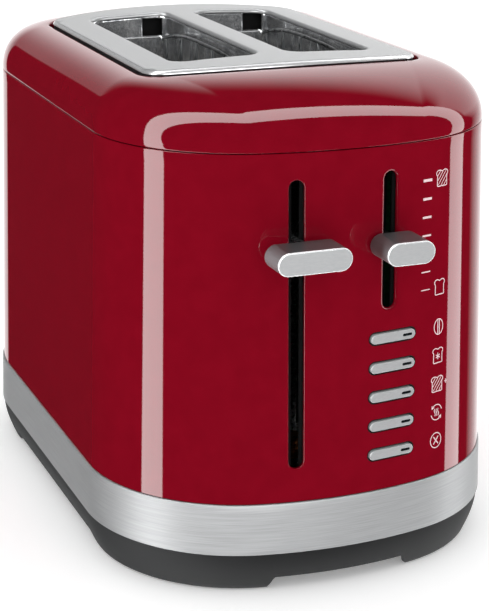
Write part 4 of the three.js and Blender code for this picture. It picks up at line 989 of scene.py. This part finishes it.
def bread_slice(wide, tall):
    """The outline of a slice: straight sides under two lobes with a dip between them. A smooth
    Catmull-Rom curve goes through its corners, with four points to each."""
    half = [(0, -3.3), (2.2, -3.3), (2.35, -2.0), (2.35, 0.9), (2.75, 1.6)]
    half = np.array([*half, (2.7, 2.6), (2.0, 3.25), (1.0, 3.3), (0.35, 3.0)])
    points = np.vstack([half, [[0, 2.85]], half[:0:-1] * [-1, 1]]) * [wide, tall]
    a = np.arange(len(points) * 4) / 4
    index = np.floor(a).astype(int)
    t = (a - index)[:, None]
    p = [points[(index + k) % len(points)] for k in (-1, 0, 1, 2)]
    return 0.5 * (
        2 * p[1] + (p[2] - p[0]) * t + (2 * p[0] - 5 * p[1] + 4 * p[2] - p[3]) * t**2
        + (3 * p[1] - p[0] - 3 * p[2] + p[3]) * t**3
    )


def hatching(loop, gap=2.0):
    """Slanting lines inside a loop: each rises 1.15 for 1 across, and ends a tenth short of it."""
    lines = []
    for shift in np.arange(-6, 6.1, gap):
        t = np.linspace(-5, 5, 160)
        line = np.c_[t, t * 1.15 + shift]
        kept = line[inside(loop * 0.9, line)]
        if len(kept) > 12:
            lines.append(stroke(kept[:: len(kept) - 1], 0.3))
    return lines


def ellipse(width, height, start=0.0, stop=2 * math.pi, count=40):
    """Points along an ellipse, from one angle to another: half its width times the cosine, and half
    its height times the sine."""
    a = np.linspace(start, stop, count)
    return np.c_[width / 2 * np.cos(a), height / 2 * np.sin(a)]


outline_slice = [stroke(bread_slice(1.05, 0.9), closed=True)]
slice_loop = bread_slice(1.2, 0.93)
dark_slice = [stroke(slice_loop, closed=True)] + hatching(slice_loop)
bagel = [stroke(ellipse(5.1, 6.3)[:-1], closed=True)]
bagel += [stroke([(x, -2.9), (x, 2.9)], 0.42) for x in (-0.45, 0.45)]
snow = [
    stroke([(k * math.cos(a), k * math.sin(a)) for k in (-1.3, 1.3)], 0.42)
    for a in (math.pi / 2, math.pi / 6, 5 * math.pi / 6)
]
snow = [(a + [0, -0.3], b + [0, -0.3], c) for a, b, c in snow]
plus = [stroke([(4.3, 0.2), (6.1, 0.2)], 0.36), stroke([(5.2, -0.7), (5.2, 1.1)], 0.36)]
arrows = []
for start in (0.25, 0.25 + math.pi):
    arc = ellipse(6.2, 6.4, start, start + 2.35, 24)
    tip, way = arc[-1], arc[-1] - arc[-3]
    way /= np.linalg.norm(way)
    out = np.array([-way[1], way[0]])
    barb = tip - 1.2 * way
    arrows += [stroke(arc), stroke([barb + 0.7 * out, tip, barb - 0.7 * out], 0.4)]
wave = 0.3 * np.sin(np.linspace(0, 2 * math.pi, 14))
waves = [stroke(np.c_[x + wave, np.linspace(-1.5, 1.5, 14)], 0.36) for x in (-1.0, 0, 1.0)]
cancel = [stroke(ellipse(6.1, 6.3)[:-1], closed=True)]
cancel += [stroke([(-1.35, -1.6 * k), (1.35, 1.6 * k)], 0.46) for k in (-1, 1)]
pictures = (bagel, outline_slice + snow, dark_slice + plus, arrows + waves, cancel)
pictures = dict(zip(BUTTON_Z, pictures, strict=True))
pictures |= {TICK_TOP: dark_slice, TICK_TOP - 6 * TICK_PITCH: outline_slice}
groups = []
for z, strokes in pictures.items():
    middle = front_s(MARK_X, z)
    for first, second, closed in strokes:
        rings = [on_wall(middle + edge[:, 0], z + edge[:, 1], -INK_RISE) for edge in (first, second)]
        groups.append(stacked(rings, closed))
for k in range(7):
    z, half = TICK_TOP - k * TICK_PITCH, (TICK_WIDTH[0] - TICK_WIDTH[1] * k) / 2
    across = front_s(np.linspace(*TICK_X, 8), z)
    edges = [on_wall(across, height, -INK_RISE) for height in (z - half, z + half)]
    groups.append(stacked(edges, closed=False))
new_piece("printed_marks", groups, "housing", ink, wall=0.05)

# ------------------------------------------------------------------ base band
# A stainless steel band round the foot of the shell, brushed round the body, with softened edges and
# a window at the back for the crumb tray's pull.
BAND_LOW, BAND_HIGH = (corner[2] for corner in mm_box("base_band"))
BAND_PROUD = 0.6
BAND_RADIUS = 0.5
BAND_LEDGE = 0.8
BAND_SHEET = 1.0
PULL_BOX = mm_box("crumb_tray_pull")
PULL_HALF = (PULL_BOX[1][0] - PULL_BOX[0][0]) / 2
PULL_LOW, PULL_HIGH = PULL_BOX[0][2], PULL_BOX[1][2]
WINDOW_GAP = 0.3
WINDOW_EDGE = 1.2
WINDOW_MARGIN = 12.0  # of the band's holed part, past the pull on each side
BAND_GRID = 2.2


def back_s(x, z):
    """Arc length of the place on the back at x across, increasing anticlockwise past the middle of
    the back, which is at twice the quarter."""
    return 2 * QUARTER - front_s(x, z)


window_z = (PULL_LOW + PULL_HIGH) / 2
reach = 2 * QUARTER - back_s(PULL_HALF, window_z)
back_half = reach + WINDOW_MARGIN
band_rows = np.linspace(BAND_LOW + BAND_RADIUS, BAND_HIGH - BAND_RADIUS, 9)
back = 2 * QUARTER + np.linspace(-back_half, back_half, 75)
front = np.linspace(-2 * QUARTER + back_half, 2 * QUARTER - back_half, 331)
round_band = np.r_[front, back[1:-1]]
window_s = 2 * QUARTER + np.linspace(-reach - WINDOW_GAP, reach + WINDOW_GAP, 61)
window = frame_loop(window_s, np.linspace(PULL_LOW - WINDOW_GAP, PULL_HIGH + WINDOW_GAP, 9))
flat, triangles = holed_sheet(frame_loop(back, band_rows), [window], BAND_GRID)
groups = [(on_wall(flat[:, 0], flat[:, 1], -BAND_PROUD), triangles)]
groups.append(stacked([on_wall(*window.T, inwards - BAND_PROUD) for inwards in (0.0, WINDOW_EDGE)]))
groups.append(stacked([on_wall(front, z, -BAND_PROUD) for z in band_rows], closed=False))
edge = rounding(BAND_RADIUS)
rings = [on_wall(round_band, BAND_LOW + spread, sink - BAND_PROUD) for spread, sink in edge[::-1]]
groups.append(stacked(rings))
rings = [on_wall(round_band, BAND_HIGH - spread, sink - BAND_PROUD) for spread, sink in edge]
groups.append(stacked([*rings, on_wall(round_band, BAND_HIGH, BAND_LEDGE)]))
# Brushed round the body: a long grain, drawn 0.35 mm wide so that it shows, and a broad soft gloss.
band_steel = grained(
    "round_brushed_stainless", "#8F9091", "#9FA0A1", 0.35, 0.5, 0.04, 0.003, (60, 60, 1), 3.0,
    Metallic=0.55,
)
new_piece(
    "steel_base_band", groups, "housing", band_steel, ["base_band"],
    wall=BAND_SHEET, metal=True,
)

# ------------------------------------------------------------------ base
# A deep tray moulded in dark grey plastic with a fine spark texture. Its wall tucks in towards the
# table, and is cut away in low arches between four feet, with a rubber pad under each.
BASE_LOW, BASE_RIM = (corner[2] for corner in mm_box("base"))
BASE_FOOT = (0.5, 2.4)  # the foot's edge runs in from the wall's line by these
BASE_LEDGE = 3.0
BASE_TUCK = 4.5
ARCH_HIGH = 5.5
ARCH_HALF = (30.0, 60.0)  # front and back, sides
ARCH_SLOPE = 1.7


def foot_line(s):
    """Height of the base's lower edge: down at the feet, up in the arches, with a smooth step."""
    points, facing = wall_at(s)
    on_end = np.abs(facing[:, 1]) > np.abs(facing[:, 0])
    across, along = np.abs(points - [0, BODY_CENTRE_Y]).T
    beyond = np.where(on_end, across - ARCH_HALF[0], along - ARCH_HALF[1])
    t = np.clip(beyond / ARCH_SLOPE / 2 + 0.5, 0, 1)
    return ARCH_HIGH + (BASE_LOW - ARCH_HIGH) * t * t * (3 - 2 * t)


def tuck(z):
    """How far the wall stands in: most at the foot, and none at the rim, as a quarter sine."""
    t = np.clip((z - BASE_LOW) / (BASE_RIM - BASE_LOW), 0, 1)
    foot = BASE_TUCK + DRAFT * BASE_RIM
    return foot - (foot - DRAFT * BASE_RIM) * np.sin(t * math.pi / 2) - DRAFT * z


s = np.linspace(0, 4 * QUARTER, 761)[:-1]
edge = foot_line(s)
rings = [on_wall(s, ARCH_HIGH, tuck(edge) + BASE_FOOT[1])]
rings += [on_wall(s, edge, tuck(edge) + inwards) for inwards in BASE_FOOT[::-1]]
for t in np.linspace(0.03, 1, 12):
    z = edge + (BASE_RIM - edge) * t
    rings.append(on_wall(s, z, tuck(z)))
rings.append(on_wall(s, BASE_RIM, BASE_LEDGE))
groups = [capped(rings, last=False)]


def turned(profile, centre, axis="Z", sides=40):
    """A turned piece: a profile of (radius, along) pairs carried round an axis through centre, and
    closed with a flat at each end."""
    a = np.arange(sides) / sides * 2 * math.pi
    rings = []
    for radius, along in profile:
        flat = np.c_[radius * np.cos(a), radius * np.sin(a), np.full(sides, along)]
        rings.append((flat if axis == "Z" else flat[:, [0, 2, 1]] * [-1, 1, 1]) + centre)
    return capped(rings)


# Profiles of (radius, height): the round boss under each corner, and the rubber pad let into it.
BOSS = [(8.4, 2.6), (8.4, 0.6), (9.4, 0.6), (10.6, 0.9), (11.0, ARCH_HIGH + 0.5)]
PAD = [(6.8, 0.0), (7.6, 0.2), (8.0, 0.7), (8.0, 2.4)]
pad_places = [[*(sum(mm_box(f"foot_pad_{k}"))[:2] / 2), 0] for k in range(1, 5)]
groups += [turned(BOSS, place) for place in pad_places]
# Plastic moulded in a spark-eroded tool: dark grey and matt, with a pitted texture 0.45 mm wide.
base_plastic = grained(
    "spark_textured_plastic", "#1F2021", "#292A2B", 0.45, 0.72, 0.06, 0.01, detail=3.0, IOR=1.45
)
new_piece("moulded_base", groups, "housing", base_plastic, ["base"])
refinish(base_plastic, "tray_rail_left", "tray_rail_right")
refinish(bright_steel, *(f"base_screw_{k}" for k in range(1, 5)))

for k, place in enumerate(pad_places, 1):
    new_piece(f"rubber_pad_{k}", [turned(PAD, place)], "housing", rubber, [f"foot_pad_{k}"])

# ------------------------------------------------------------------ crumb tray
# A folded steel tray slides out of the back. Its pull is a piece of the band's own curve, with a
# finger lip along its lower edge, joined to the tray by a flat tongue.
LIP_PROUD = 2.2
LIP_PLACE = (0.12, 0.13)  # the lip's height up the pull, and its spread, as shares
PULL_EDGE = 0.4
PULL_SHEET = 2.0
TONGUE_SIZE = (40.0, 3.0)
TONGUE_RISE = 4.5
columns = 2 * QUARTER + np.linspace(-reach, reach, 61)
t = np.linspace(0, 1, 15)
face_z = PULL_LOW + PULL_EDGE + (PULL_HIGH - PULL_LOW - 2 * PULL_EDGE) * t
# The finger lip swells out as a bell curve.
swell = LIP_PROUD * np.exp(-(((t - LIP_PLACE[0]) / LIP_PLACE[1]) ** 2))
profile = [(PULL_LOW, PULL_SHEET), (PULL_LOW, PULL_EDGE - swell[0])]
profile += list(zip(face_z, -swell, strict=True)) + [(PULL_HIGH, PULL_EDGE), (PULL_HIGH, PULL_SHEET)]
rings = [on_wall(columns, z, inwards - BAND_PROUD) for z, inwards in profile]
points, faces = stacked([*rings, rings[0]], closed=False)
n, m = len(rings), len(columns)
faces += [[r * m for r in range(n)][::-1], [r * m + m - 1 for r in range(n)]]
tongue_y = np.linspace(mm_box("crumb_tray")[1][1] + 0.3, PULL_BOX[1][1] - LIP_PROUD, 6)
section = stadium(*TONGUE_SIZE, 32) + [0, PULL_LOW + TONGUE_RISE]
tongue = capped([np.c_[section[:, 0], np.full(32, y), section[:, 1]] for y in tongue_y[::-1]])
new_piece(
    "tray_handle", [(points, faces), tongue], "crumb_tray", band_steel,
    ["crumb_tray_pull"], metal=True,
)
refinish(bright_steel, "crumb_tray")

# ------------------------------------------------------------------ cord gland
# A short moulded bush at the back of the base, where the cord would come out.
low, high = mm_box("cord_gland")
centre = (low + high) / 2 * [1, 0, 1]
# Its profile as (radius, y), from the flange inside the base, along the neck and into the bore.
bush = [(4.2, low[1]), (4.2, low[1] + 3.7), (3.5, low[1] + 4), (3.5, high[1] - 0.4)]
bush += [(3.2, high[1]), (2.8, high[1]), (2.4, high[1] - 0.3), (2.6, high[1] - 6)]
bush = [turned(bush, centre, "Y")]
new_piece("cord_bush", bush, "housing", black_plastic, ["cord_gland"])
